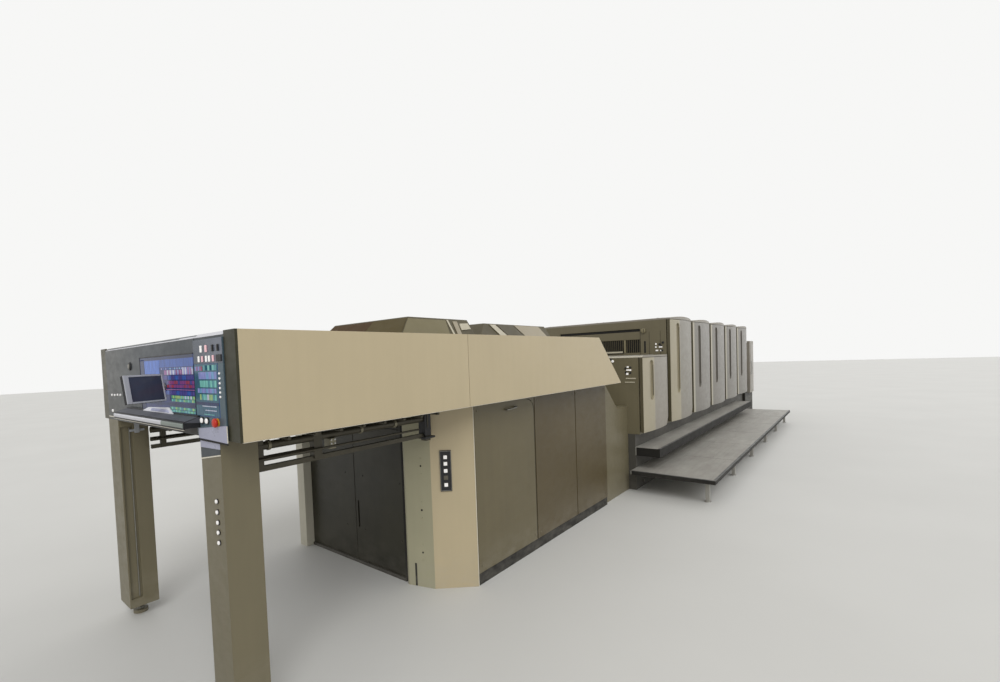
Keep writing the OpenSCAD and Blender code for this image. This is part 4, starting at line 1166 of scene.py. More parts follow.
class PRESS_OT_bay(Maker):
    """Dresses the pile bay: rail clamps, guide columns, button panel, back wall and blower bars"""
    bl_idname = "press.bay"
    bl_label = "Pile bay"

    def build(self):
        self.rails()
        self.pillar()
        self.wall()
        self.blower()

    def rails(self):
        """Clamps, brackets and rods on the two pile rails"""
        rail_y = 350
        clamps, dark, bright = Shape(), Shape(), Shape()
        for y in (rail_y, PRESS_W - rail_y):
            clamps.block((658, 702), (y - 29, y + 29), (1220, 1282))
            dark.block((1440, 1502), (y - 32, y + 32), (1180, 1384))
            dark.block((1425, 1530), (y - 44, y + 44), (1160, 1174))
            bright.block((1462, 1470), (y - 36, y - 31), (1238, 1352))
            bright.block((1462, 1470), (y + 31, y + 36), (1238, 1352))
            for x in (300, 900, 1180):
                clamps.turned((x, y, 1301), (1, 0, 0), ((-9, 27), (9, 27)))
            bright.rod((200, y - 30, 1235), (1380, y - 30, 1235), 7, 14)
            for x in (1000, 300):
                bright.rod((x, y, 1320), (x, y, 1386), 8, 14)
        clamps.make("rail_clamps", "clamp metal", "bright_steel", rounding=3)
        dark.make("rail_end_brackets", "black plastic", "black_plastic", rounding=2)
        bright.make("rail_rods", "rail paint", "bright_steel", smooth=True)
        points = [(x, rail_y - 29, z) for x in (668, 692) for z in (1251, 1273)]
        screws("clamp_screws", "bright steel", "bright_steel", points, TO_NEAR, 4, 6, 0.5, 6)

    def blower(self):
        """Bars across the top of the bay, with air nozzles that point down"""
        pipes, nozzles = Shape(), Shape()
        for x in range(260, 1460, 150):
            pipes.rod((x, 60, 1366), (x, PRESS_W - 60, 1366), 9, 16)
            for y in (450, 750, 1055, 1360, 1660):
                nozzles.turned((x, y, 1376), DOWN, ((0, 16), (14, 16), (20, 30), (34, 30)), 20)
        pipes.make("blower_bars", "rail paint", "bright_steel", smooth=True)
        nozzles.make("blower_nozzles", "black plastic", "black_plastic", smooth=True)

    def pillar(self):
        """The guides' holes, screws and slot, the painted highlight lines on the pillar's edges and the
        panel of square buttons
        """
        inner, mid, outer = Vector((1510, 620)), Vector((1575, 410)), Vector((1800, GUARD_Y))
        run = mid - inner
        out = Vector((-run.y, run.x)).normalized()
        if out.x > 0:
            out = -out
        holes, points = Shape(), []
        for share, z, r in ((0.62, 925, 7), (0.6, 590, 8), (0.58, 265, 7)):
            at = inner + run * share
            holes.turned((at.x, at.y, z), (out.x, out.y, 0), ((-2, r), (1.2, r)))
            points += [(at.x + out.x * 0.2, at.y + out.y * 0.2, z + lift) for lift in (-60, 60)]
        at, half = inner + run * 0.286, run.normalized() * 8
        holes.upright([tuple(at + way * half + out * lift)
                       for way, lift in ((-1, 0.9), (1, 0.9), (1, -2), (-1, -2))], (2, 176))
        holes.make("guide_holes", "dark gap", "black_plastic", smooth=True)
        screws("guide_screws", "grey paint", "grey_paint", points, (out.x, out.y, 0), 2.5, 12, 0.4, 6)
        # White lines up the pillar's corner edges: painted highlight
        turned_parts("pillar_painted_highlights", "white edge", "beige_paint",
                     [((1800.5, y, 4), UP, ((0, 2.6), (FASCIA_BOTTOM - 6, 2.6)))
                      for y in (GUARD_Y - 1, PRESS_W - GUARD_Y + 1)], 10)
        run = (outer - mid).normalized()
        normal = Vector((run.y, -run.x))
        centre = mid + (outer - mid) * 0.34 + normal * 8.5
        slant = math.atan2(run.y, run.x)
        turn = Matrix.Translation((centre.x, centre.y, 0)) @ Matrix.Rotation(slant, 4, "Z")
        lit, unlit = (992, 943, 890, 785), 838
        blocks("pillar_square_buttons", "white lamp", "white_plastic",
               [((-14, 12), (-6, 0.4), (z - 13, z + 13)) for z in lit], rounding=2, spot=turn)
        sides, level = (740, 1038), (-41, 41)
        blocks("pillar_panel_lines", "dull steel", "bright_steel",
               [(x, (-1.2, 0.4), z) for x, z in (((-41, -38), sides), ((38, 41), sides), (level, (740, 743)),
                                                 (level, (1035, 1038)))], spot=turn)
        blocks("pillar_dark_button", "grey plastic dark", "grey_plastic",
               [((-13, 11), (-5, 0.4), (unlit - 12, unlit + 12))]
               + [((-17, 15), (-1.4, 0.4), (z - 16, z + 16)) for z in (*lit, unlit)],
               rounding=1.5, spot=turn)

    def wall(self):
        x = span("back_wall", 0)[0]
        y0, y1 = span("back_wall", 1)
        tall = (4, FASCIA_BOTTOM - 6)
        blocks("wall_seams", "charcoal ridge", "charcoal_paint", [((x - 3, x + 1), (1290, 1294), tall)])
        blocks("wall_edge_gap", "dark gap", "black_plastic", [((x - 2.5, x + 1), (y0 + 3, y0 + 48), tall)])
        blocks("wall_foot", "base iron", "base_iron", [((x - 16, x), (y0 + 30, y1 - 6), (0, 26))],
               rounding=2)
        points = [(x, y, z) for y in (720, 1180, 1420, 1860) for z in (300, 760, 1240)]
        screws("wall_screws", "charcoal ridge", "charcoal_paint", points, TO_FRONT, 3)
        collect("wall_vents", "charcoal ridge", "charcoal_paint",
                [bars((x - 4, 780, 1290), (8, 120, 8), 6, (0, 0, -22), "charcoal ridge", 8, (0, 150, 0))])


class PRESS_OT_guards(Maker):
    """Adds the side guards' seams, levers, kick strip and screws"""
    bl_idname = "press.guards"
    bl_label = "Side guards"

    def build(self):
        lever, seam, kick, points, facing = Shape(), Shape(), [], [], []
        x_seam = 2662
        for y, out in ((GUARD_Y, -1), (PRESS_W - GUARD_Y, 1)):
            lever.tube([(x, y + out * proud, z) for x, proud, z in
                        ((2217, 2, 1292), (2219, 24, 1292), (2232, 30, 1292), (2340, 30, 1300),
                         (2352, 24, 1301),
                         (2354, 2, 1301))], 7)
            corner = [(x_seam - 114 + r * math.sin(a * math.pi / 24), 1240 + r * math.cos(a * math.pi / 24))
                      for r, steps in ((110, range(13)), (104, range(12, -1, -1))) for a in steps]
            seam.across(corner, outwards(y, out, 0.8, -1))
            seam.block((x_seam - 9, x_seam - 4), outwards(y, out, 0.8, -1), (100, 1240))
            kick.append(((1815, 4180), outwards(y, out, -2, -12), (0, 88)))
            points += [(x, y, z) for x in (1850, 2620, 2710, 3400, 3480, 4150) for z in (140, 1320)]
            facing += [(0, out, 0)] * 12
        lever.make("guard_levers", "dull steel", "bright_steel", smooth=True)
        seam.make("guard_seams", "dark gap", "black_plastic")
        screws("guard_screws", "olive paint", "olive_paint", points, facing, 3)
        blocks("guard_kick_strips", "dark gap", "black_plastic", kick)


class PRESS_OT_hoods(Maker):
    """Adds the roof hoods' side and front panels, strips and air slats, and the roof's seams and screws; the
    lighter side plates and the dark plates on the front slope are painted light and shade
    """
    bl_idname = "press.hoods"
    bl_label = "Roof hoods"

    def build(self):
        roof = span("delivery_housing", 2)[1]
        front_hood, rear_hood, inset, lean = 188, 168, 500, 90

        def side(name, finish, slot, plates):
            """Plates on both leaning sides, each as (hood's height, how proud, corners)"""
            shape = Shape()
            for tall, proud, outline in plates:
                rings = [[(x, inset + lean * v - lift, roof + 2 + (tall - 2) * v) for x, v in outline]
                         for lift in (proud, 0.3)]
                shape.hull(rings)
                shape.hull([[(x, PRESS_W - y, z) for x, y, z in ring] for ring in rings])
            shape.make(name, finish, slot)

        # A lighter plate on each hood's leaning side: painted light where the side faces the light
        side("hood_painted_light_plates", "hood painted light", "olive_paint",
             [(front_hood, 3, ((1572, 0.93), (1996, 0.93), (1980, 0.12), (1428, 0.12)))])
        side("hood_pale_strips", "cream edge", "beige_paint",
             [(front_hood, 6, ((2006, 0.95), (2026, 0.95), (2052, 0.12), (2030, 0.12))),
              (front_hood, 6, ((2155, 0.5), (2285, 0.56), (2270, 0.84), (2155, 0.8))),
              (rear_hood, 7, ((2600, 0.95), (2690, 0.95), (2810, 0.3), (2700, 0.3)))])
        side("hood_light_panels", "warm grey", "beige_paint",
             [(front_hood, 5, ((2080, 0.9), (2135, 0.9), (2135, 0.12), (2080, 0.12))),
              (rear_hood, 5, ((3010, 0.97), (3470, 0.97), (3560, 0.3), (3130, 0.3)))])
        side("hood_dark_panels", "olive shade", "olive_paint",
             [(rear_hood, 4, ((2720, 0.95), (2985, 0.97), (3110, 0.3), (2830, 0.3)))])
        # Dark plates on the hoods' front slope: painted shade, brown on the far half and a lighter olive on
        # the near half
        front, reach = 1400, 180
        for name, finish, corner_y in (
                ("hood_front_panel", "hood slope", (PRESS_W - 512, PRESS_W - 592, 984, 1000)),
                ("hood_front_panel_near", "hood slope light", (998, 982, 592, 512))):
            slope = Shape()
            slope.hull([[(front + reach * v - out, y, roof + 2 + (front_hood - 2) * v + out)
                         for v, y in zip((0.08, 0.95, 0.95, 0.08), corner_y)] for out in (1.6, 0.2)])
            slope.make(name, finish, "olive_paint")
        collect("hood_air_slats", "olive shade", "olive_paint",
                [bars((x, PRESS_W / 2 - 265, roof + tall + 1), (24, 220, 2.4), count, (60, 0, 0),
                      "olive shade", 3,
                      (0, 265, 0)) for x, tall, count in ((1640, front_hood, 9), (2580, rear_hood, 16))])
        blocks("roof_seams", "dark gap", "black_plastic",
               [((x, x + 4), (60, PRESS_W - 60), (roof, roof + 2)) for x in (420, 900, 1360)])
        points = [(x, y, roof) for x in (380, 460, 860, 940, 1320) for y in (120, 700, 1400, PRESS_W - 120)]
        screws("roof_screws", "dull steel", "bright_steel", points, UP, 4)


class PRESS_OT_towers(Maker):
    """Dresses the towers and the low unit: end faces, doors, rails, drive side, roofs and insides"""
    bl_idname = "press.towers"
    bl_label = "Towers"

    def build(self):
        self.end_face()
        self.low_face()
        self.doors()
        self.gaps_between()
        self.drive_side()
        self.covers()
        self.base_sides()
        self.liners()
        self.service()

    def end_face(self):
        """The first tower's grille, strips and buttons, and every tower's knob and dark slot"""
        x = TOWER_X[0]
        y0, wide, z0, high = 414, 600, 1710, 192
        pitch = sizes().louvre / MM
        collect("grille_slats", "olive shade", "olive_paint",
                [bars((x + 8, y0 + start, z0 + high / 2), (14, 7, high - 4), count, (0, pitch, 0),
                      "olive shade")
                 for start, count in ((12, 7), (262, 11))])
        dark = [((x + 14, x + 18.2), (y0 + 1, y0 + wide - 1), (z0 + 1, z0 + high - 1)),
                ((x - 1, x + 2), (335, 360), (1702, 1872)),
                ((x - 1.5, x + 2), (660, 1400), (1695, 1706))]
        dark += [((x - 0.8, x + 1), (y - 2, y + 2), (1674, 2008)) for y in (412, 285, 133)]
        dark += [((start + 12, start + 18.2), (415, PRESS_W - 415), (2017, 2053)) for start in TOWER_X]
        blocks("end_face_dark_slots", "dark gap", "black_plastic", dark)
        blocks("end_face_pale_strips", "cream edge", "beige_paint",
               [((x - 14, x), (671, 1400), (1712, 1736))], rounding=1)
        blocks("grille_post", "olive light", "olive_paint",
               [((x - 3, x + 14), (y0 + 212, y0 + 240), (z0 + 2, z0 + high - 2))], rounding=1)
        spots = ((193, 1823, 18, 26), (194, 1778, 20, 20), (130, 1778, 46, 18), (181, 1730, 34, 20),
                 (127, 1728, 18, 18))
        blocks("tower_buttons_white", "white lamp", "white_plastic",
               [((x - 9, x), *oblong(*spot)) for spot in spots], rounding=2)
        caps = [(y, z, ((0, 13), (9, 13), (11, 10))) for y, z in ((145, 1820), (125, 1800), (110, 1730))]
        caps.append((98, 1840, ((0, 16), (9, 16), (13, 12))))
        turned_parts("tower_buttons_black", "black plastic", "black_plastic",
                     [((x, y, z), TO_FRONT, steps) for y, z, steps in caps])
        turned_parts("tower_knob_caps", "olive light", "olive_paint",
                     [((start - 21, 362, 2023), TO_FRONT,
                       ((0, 33), (4, 33), (6, 28))) for start in TOWER_X])
        blocks("tower_knob_slots", "dark gap", "black_plastic",
               [((start - 28, start - 26.5), (352, 358), (1998, 2048)) for start in TOWER_X])

    def low_face(self):
        """The low unit's lamps, buttons and strips"""
        x = LOW_X
        lit = Shape()
        for spot in ((182, 1536, 22, 20), (170, 1498, 60, 16), (190, 1450, 26, 26), (150, 1496, 18, 18)):
            lit.block((x - 9, x), *oblong(*spot))
        lit.turned((x, 372, 1611), TO_FRONT, ((0, 16), (12, 16), (15, 12)))
        lit.make("low_unit_lamps", "white lamp", "white_plastic", rounding=1)
        turned_parts("low_unit_buttons", "black plastic", "black_plastic",
                     [((x, y, z), TO_FRONT, ((0, 12), (8, 12), (10, 9))) for y, z in
                      ((150, 1530), (210, 1520), (205, 1470), (150, 1462), (395, 1632))])
        blocks("low_unit_pale_strips", "cream edge", "beige_paint",
               [((x - 6, x), (86, 209), (1386, 1400)), ((x - 6, x), (100, 222), (1340, 1352))], rounding=1)
        roof = span("low_unit_door", 2)[1]
        # A white strip along the low unit's roof edge: painted highlight
        blocks("low_unit_roof_highlight", "white edge", "pale_paint",
               [((x - 2, x), (0, PRESS_W), (roof + 6, roof + ROOF_PLATE))])

    def doors(self):
        for name, x, wide in DOORS:
            low, high = span(name, 2)
            blocks(f"{name}_front_edge", "olive shade", "olive_paint",
                   [((x - 1.2, x), (1.5, 38.5), (low + 2, high - 2))], name)
            self.groove_lines(name, x, wide)

    def groove_lines(self, name, x, wide):
        """Dark lines down both sides of a door's grip groove, which follows the door's bow: painted shade on
        the groove's walls
        """
        middle, z = (238, (1170, 1552)) if name == LOW_DOOR else (252, (1170, 2055))
        bow_r, half, deep = 2995.25, 55, 28
        bow = math.sqrt(bow_r ** 2 - (middle - wide / 2) ** 2) - math.sqrt(bow_r ** 2 - (wide / 2) ** 2)
        turn = math.asin((middle - wide / 2) / bow_r)
        spot = Matrix.Translation((x + middle, deep - bow, 0)) @ Matrix.Rotation(turn, 4, "Z")
        blocks(f"{name}_groove_lines", "groove painted shade", "grey_paint",
               [(x, (-deep + 1.5, -deep + 7), z)
                for x in ((-half + 0.3, -half + 4), (half - 4, half - 0.3))],
               name, spot=spot)

    def gaps_between(self):
        """Studs on the treads, grab rails and rods between the towers, and seams on their rear faces"""
        treads, rails, seams = [], Shape(), []
        for x in TOWER_X:
            gap = x + 884
            treads.append(bars((gap + 14, 180, 1062), (6, 26, 4), 10, (29, 0, 0), "tread plate", 44,
                               (0, 40, 0)))
            for y in (130, PRESS_W - 130):
                arch = [(gap + 60 - 40 * math.cos(a * math.pi / 8), y, 1950 + 40 * math.sin(a * math.pi / 8))
                        for a in range(9)]
                rails.tube([(gap + 20, y, 1060), (gap + 20, y, 1500)] + arch
                           + [(gap + 100, y, 1500), (gap + 100, y, 1060)], 14)
            back = x + TOWER_BACK
            rails.rod((back + 16, 200, 1560), (back + 16, PRESS_W - 200, 1560), 10, 16)
            for y in (200, PRESS_W / 2, PRESS_W - 200):
                rails.rod((back, y, 1560), (back + 18, y, 1560), 8, 12)
            seams += [((back + 2, back + 7), (140, PRESS_W - 140), (z, z + 6)) for z in (1320, 1700)]
        collect("tread_studs", "tread plate", "tread_plate", treads)
        rails.make("tower_grab_rails", "bright steel", "bright_steel", smooth=True)
        blocks("tower_rear_seams", "dark gap", "black_plastic", seams)

    def drive_side(self):
        """Air slats, seams, latches and screws on the drive side's covers"""
        louvre_shade_sheets, seams, slats, points, latch = [], [], [], [], Shape()
        skin = (PRESS_W - 0.5, PRESS_W + 1)
        for name, x, wide in DOORS:
            top, latch_z = (1460, 1120) if name == LOW_DOOR else (1900, 1240)
            middle = x + wide / 2
            louvre_shade_sheets.append(((middle - 280, middle + 280), skin, (top - 230, top + 20)))
            seams.append(((middle - 2, middle + 2), skin, (740, top - 240)))
            slats.append(bars((middle, PRESS_W + 5, top), (540, 9, 5), 9, (0, 0, -26), "warm grey",
                              turn=(math.radians(-28), 0, 0)))
            points += [(x + dx, PRESS_W, z) for dx in (40, wide - 40) for z in (900, top + 60)]
            for at in (middle - 60, middle + 60):
                latch.turned((at, PRESS_W, latch_z), TO_FAR, ((0, 18), (4, 18), (5, 13), (6, 13)))
                latch.block((at - 2, at + 2), (PRESS_W + 5, PRESS_W + 7.5), (latch_z - 10, latch_z + 10))
        # Dark sheets behind the slats: painted shade inside the louvres
        blocks("drive_louvre_painted_shade", "dark gap", "black_plastic", louvre_shade_sheets)
        blocks("drive_cover_seams", "dark gap", "black_plastic", seams)
        collect("drive_cover_slats", "warm grey", "pale_paint", slats)
        screws("drive_cover_screws", "bright steel", "bright_steel", points, TO_FAR, 3.5, 14)
        latch.make("drive_cover_latches", "dull steel", "bright_steel", smooth=True)

    def covers(self):
        """Lids on the roofs, and the guards over the rollers between the towers"""
        lids, handles, guards, points = Shape(), Shape(), [], []
        crown = 25
        radius = (DOOR_WIDE ** 2 / 4 + crown ** 2) / (2 * crown)

        def arch(dx):
            """Height of a tower's roof at a distance from its front"""
            return TOWER_TOP + crown - radius + math.sqrt(radius ** 2 - (dx - DOOR_WIDE / 2) ** 2)

        steps = [70 + 38 * k for k in range(16)]
        for x in TOWER_X:
            outline = [(x + dx, arch(dx) + 3) for dx in steps]
            outline += [(x + dx, arch(dx) - 1) for dx in reversed(steps)]
            for y0, y1 in ((150, 1045), (1065, PRESS_W - 150)):
                lids.across(outline, (y0, y1))
                points += [(x + dx, y, arch(dx) + 3) for y in (y0 + 40, y1 - 40) for dx in (95, 345, 615)]
                handles.tube([(x + 560, (y0 + y1) / 2 + dy, arch(560) + lift) for dy, lift in
                              ((-90, 0), (-86, 6), (-78, 8), (78, 8), (86, 6), (90, 0))], 5)
            back = x + TOWER_BACK
            guards += [((back, back + 7), (250, PRESS_W - 250), z)
                       for z in ((1340, 1540), (1580, 1690), (1716, 1820))]
            for y in (700, PRESS_W - 700):
                handles.tube([(back + dx, y + dy, 1440) for dx, dy in
                              ((5, -80), (26, -78), (32, -68), (32, 68), (26, 78), (5, 80))], 6)
        low_top = span(LOW_DOOR, 2)[1] + ROOF_PLATE
        lids.block((LOW_X + 60, LOW_X + 880), (150, PRESS_W - 150), (low_top + 0.2, low_top + 4))
        lids.make("roof_lids", "pale lid", "pale_paint", rounding=2)
        blocks("roller_guards", "olive light", "olive_paint", guards, rounding=2)
        handles.make("cover_handles", "bright steel", "bright_steel", smooth=True)
        screws("lid_screws", "bright steel", "bright_steel", points, UP, 3)

    def base_sides(self):
        """Plates on the drive side of the base frame, and bolts on both of its sides"""
        far = span("base_frame", 1)[1]
        plates, bolts = [], []
        for x, wide in [(LOW_X, TOWER_X[0] - LOW_X)] + [(x, PITCH) for x in TOWER_X]:
            plates.append(((x + 30, x + wide - 30), (far - 0.5, far + 3), (130, 640)))
            bolts += [(x + dx, far + 3, z) for dx in (60, wide - 60) for z in (160, 610)]
        facing = [TO_FAR] * len(bolts)
        for y, out in sides_of("base_frame"):
            bolts += [(LOW_X + 260 + k * 590, y, 60) for k in range(12)]
            facing += [(0, out, 0)] * 12
        blocks("base_side_plates", "base iron", "base_iron", plates, rounding=1.2)
        screws("base_bolts", "dull steel", "bright_steel", bolts, facing, 9, 6, 0.6, 14)

    def liners(self):
        """The back of each door, seen when it is open: its liner and the liner's ribs"""
        for name, x, wide in DOORS:
            low, high = span(name, 2)
            liner = Shape()
            liner.across([(x + 36, low + 36), (x + wide - 190, low + 36), (x + wide - 90, low + 190),
                          (x + wide - 90, high - 36), (x + 36, high - 36)], (39.5, 42.5))
            liner.make(f"{name}_liner", "charcoal ridge", "charcoal_paint", name, rounding=1.2)
            ribs = [((x + 60, x + wide - 110), (42, 44), (z - 22, z + 22))
                    for z in (low + 250, (low + high) / 2, high - 220)]
            ribs += [((x + 14, x + 32), (39.5, 43.5), (z - 30, z + 30)) for z in (1200, 1320)]
            blocks(f"{name}_ribs", "dull steel", "bright_steel", ribs, name, 0.8)

    def service(self):
        """The plates, covers, gauges and vents on the bodies behind the doors"""
        body = 52
        face = body - 3
        plates, discs, glass, vents, points = [], Shape(), Shape(), [], []
        for name, x, _ in DOORS:
            if name == LOW_DOOR:
                right, rows, gauge_z = 900, ((1300, 1600),), 1180
                cover_z, covers = 1450, ((220, 110), (640, 110))
            else:
                right, rows, gauge_z = 770, ((1330, 1660), (1690, 2080)), 1900
                cover_z, covers = 1490, ((200, 120), (570, 95))
            for z in ((740, 1020), (1050, rows[0][0] - 30)) + rows:
                for reach in ((x + 40, x + 0.48 * right), (x + 0.48 * right + 20, x + right)):
                    plates.append((reach, (face, body - 0.2), z))
                    points += [(a, face, b) for a, b in corners(reach, z, 18)]
            for dx, radius in covers:
                discs.turned((x + dx, face, cover_z), TO_NEAR,
                             ((0, radius), (1.5, radius), (2.4, radius - 6)), 40)
                points += [(x + dx + a, face - 2.2, cover_z + b) for a, b in round_points(radius - 18, 6)]
            for k in range(4):
                at = x + 120 + k * 66
                discs.turned((at, face, gauge_z), TO_NEAR, ((0, 25), (2, 25), (2.4, 23)), 28)
                glass.turned((at, face - 2.2, gauge_z), TO_NEAR, ((0, 20), (0.6, 20)), 28)
            vents += [((x + 520, x + 720), (face - 0.4, face + 0.2), (z, z + 8))
                      for z in range(800, 980, 20)]
        blocks("service_plates", "olive paint", "olive_paint", plates, rounding=1)
        discs.make("service_covers", "dull steel", "bright_steel", smooth=True)
        glass.make("service_gauges", "white plastic", "white_plastic")
        blocks("service_vents", "dark gap", "black_plastic", vents)
        screws("service_screws", "bright steel", "bright_steel", points, TO_NEAR, 1.6, 12, 0.4, 6)


class PRESS_OT_walkway(Maker):
    """Adds the walkway's rims, edge strips, raised studs, joints and adjustable feet"""
    bl_idname = "press.walkway"
    bl_label = "Walkway"

    def build(self):
        x0, x1 = span("outer_platform", 0)
        out = span("outer_platform", 1)[0]
        z = span("outer_platform", 2)[1]
        sx0, sx1 = span("inner_step", 0)
        sy = span("inner_step", 1)[0]
        sz0, sz1 = span("inner_step", 2)
        blocks("walkway_rims", "dark gap", "black_plastic", [
            ((x0 - 2, x1), (out - 2, out + 0.5), (z - 45, z - 3)),
            ((x0 - 2, x0 + 0.5), (out - 2, 100), (z - 45, z - 3)),
            ((sx0 - 2, sx1), (sy - 2, sy + 0.5), (sz0 - 2, sz1 - 4)),
            ((sx0 - 2, sx0 + 0.5), (sy, 100), (sz0 - 2, sz1 - 4))])
        blocks("walkway_edge_strips", "worn edge", "tread_plate", [
            ((x0 - 3, x1), (out - 3, out + 24), (z - 3, z + 1.5)),
            ((x0 - 3, x0 + 22), (out + 24, 100), (z - 3, z + 1.5)),
            ((sx0 - 2, sx1), (sy - 3, sy + 20), (sz1 - 3, sz1 + 1.5))], rounding=0.8)
        studs = [bars((x0 + 60, out + 60, z + 0.6), (26, 5, 2.4), 120, (60, 0, 0), "tread plate", 13,
                      (0, 58, 0)),
                 bars((sx0 + 50, sy + 45, sz1 + 0.6), (26, 5, 2.4), 104, (60, 0, 0), "tread plate", 2,
                      (0, 60, 0))]
        collect("walkway_studs", "tread plate", "tread_plate", studs)
        blocks("walkway_joints", "dark gap", "black_plastic",
               [((x - 1.5, x + 1.5), (out + 2, 100), (z - 0.5, z + 0.8))
                for x in [x0 + (x1 - x0) * k / 6 for k in range(1, 6)]])
        feet = [(x0 + 130 + k * (x1 - x0 - 170) / 5, out + 105) for k in range(6)]
        turned_parts("walkway_feet", "bright steel", "bright_steel",
                     [((x, y, 0), UP, ((0, 35), (6, 35), (10, 26), (16, 12), (60, 11))) for x,
                      y in feet])
        screws("walkway_nuts", "bright steel", "bright_steel", [(x, y, 34) for x, y in feet], UP,
               12, 6, 0.6, 19)


class PRESS_OT_feeder(Maker):
    """Dresses the feeder: tapes, rollers, suction head, hoist, side panels and its control box"""
    bl_idname = "press.feeder"
    bl_label = "Feeder"

    def build(self):
        self.board()
        self.head()
        self.hoist()
        x0, x1 = span("feeder_frame", 0)
        self.side_panels("feeder", ((x0 + 50, x0 + 560), (x0 + 580, x1 - 50)), ((150, 700), (720, 1420)),
                         ((x0 + 180, x0 + 430), (250, 420)), 7, "olive paint", "olive_paint", "bright steel")
        self.handwheel()
        self.control_box()
        self.pile_skids()
        x0, x1 = span("infeed_body", 0)
        self.side_panels("infeed", ((x0 + 20, x0 + 490), (x0 + 505, x1 - 20)), ((90, 560),),
                         ((x0 + 600, x0 + 900), (180, 400)), 9, "charcoal ridge", "charcoal_paint",
                         "dull steel")
        self.covers()

    def board(self):
        bx0, bx1 = span("feed_board", 0)
        by0, by1 = span("feed_board", 1)
        bz0, bz1 = span("feed_board", 2)
        lean = (bz1 - (bz0 + 50)) / (bx1 - bx0)
        lanes = [by0 + 130 + k * (by1 - by0 - 300) / 4 for k in range(5)]
        tapes, rods = Shape(), Shape()
        for y in lanes:
            tapes.across([(bx0 + 20, bz0 + 50.5), (bx1 - 10, bz1 + 0.5), (bx1 - 10, bz1 + 2.5),
                          (bx0 + 20, bz0 + 53)],
                         (y, y + 44))
        tapes.make("feed_tapes", "tape fabric", "black_plastic")
        for x in (bx0 + 180, bx0 + 420, bx0 + 660, bx0 + 900):
            z = bz0 + 50 + (x - bx0) * lean + 26
            rods.rod((x, by0 + 20, z), (x, by1 - 20, z), 8, 16)
            for y in lanes:
                rods.turned((x, y + 10, z), TO_FAR, ((0, 20), (2, 22), (22, 22), (24, 20)))
        rods.make("feed_rollers", "dull steel", "bright_steel", smooth=True)
        sides = Shape()
        for y in (by0 - 8, by1 - 2):
            sides.across([(bx0 + 4, bz0 + 30), (bx1 - 4, bz1 - 22), (bx1 - 4, bz1 + 14),
                          (bx0 + 4, bz0 + 66)],
                         (y, y + 10))
        sides.make("feed_board_sides", "grey paint", "grey_paint", rounding=2)

    def head(self):
        hx0, hx1 = span("feeder_head", 0)
        middle, centre = (hx0 + hx1) / 2, PRESS_W / 2
        low = span("feeder_head", 2)[0]
        rods, hoses, points = Shape(), Shape(), []
        for x in (middle - 175, middle + 175):
            rods.rod((x, centre - 330, low + 40), (x, centre + 330, low + 40), 12, 18)
            for dy in (-280, -95, 95, 280):
                rods.turned((x, centre + dy, low + 44), DOWN, ((0, 16), (18, 16), (20, 11), (64, 11)))
                points.append((x, centre + dy, low - 16))
        for y in (centre - 200, centre + 200):
            rods.block((middle - 180, middle + 180), (y - 14, y + 14), (low + 30, low + 52))
        rods.make("suction_bars", "dull steel", "bright_steel", smooth=True)
        screws("suction_cups", "black plastic", "black_plastic", points, DOWN, 24, 20, 0.8, 19)
        for dy in (-240, -80, 80, 240):
            hoses.tube([(middle + x, centre + dy, low + z) for x, z in
                        ((150, 60), (190, 130), (180, 220), (120, 290), (60, 330), (40, 350))], 12)
        hoses.make("suction_hoses", "black plastic", "black_plastic", smooth=True)
        blocks("suction_head_lids", "charcoal ridge", "charcoal_paint",
               [((middle - 120, middle + 120), (y - 90, y + 90), (low + 199, low + 204))
                for y in (centre - 240, centre, centre + 240)], rounding=2)

    def hoist(self):
        x0, x1 = span("feeder_frame", 0)
        y0, y1 = span("feeder_frame", 1)
        top = span("feeder_frame", 2)[1]
        collect("hoist_chains", "dull steel", "bright_steel",
                [bars((x, y + 6, 210), (10, 8, 18), 54, (0, 0, 24), "dull steel")
                 for y in (y0 + 112, y1 - 124) for x in (x0 + 560, x1 - 120)])
        shafts = Shape()
        for x, z in ((x1 - 60, top - 70), (x1 - 60, 120), (x0 + 620, 1380)):
            shafts.rod((x, y0 + 96, z), (x, y1 - 96, z), 18, 22)
            for y in (y0 + 130, y1 - 150):
                shafts.turned((x, y, z), TO_FAR, ((0, 40), (6, 46), (14, 46), (20, 40)), 24)
        for y in (y0 + 260, y1 - 260):
            shafts.rod((x0 + 640, y, 240), (x0 + 640, y, 1370), 12, 18)
        shafts.make("hoist_shafts", "dull steel", "bright_steel", smooth=True)

    def side_panels(self, name, columns, heights, vent, slats, finish, slot, screw_finish):
        """Screwed panels with a louvred vent on both sides of a part of the feeder"""
        vent_x, vent_z = vent
        panels, dark, points, facing = Shape(), Shape(), [], []
        for y, out in sides_of("infeed_body" if name == "infeed" else "feeder_frame"):
            for x in columns:
                for z in heights:
                    panels.block(x, outwards(y, out, 0.2, 4), z)
                    points += [(a, y + out * 4, b) for a, b in corners(x, z, 25)]
            dark.block(vent_x, outwards(y, out, 3.9, 4.6), vent_z)
            for k in range(slats):
                panels.block((vent_x[0] + 10, vent_x[1] - 10), outwards(y, out, 4, 9),
                             (vent_z[0] + 12 + k * 22, vent_z[0] + 18 + k * 22))
            facing += [(0, out, 0)] * (len(points) - len(facing))
        panels.make(f"{name}_side_panels", finish, slot, rounding=2)
        dark.make(f"{name}_vents", "dark gap", "black_plastic")
        screws(f"{name}_screws", screw_finish, "bright_steel", points, facing, 4, recess=0.5)

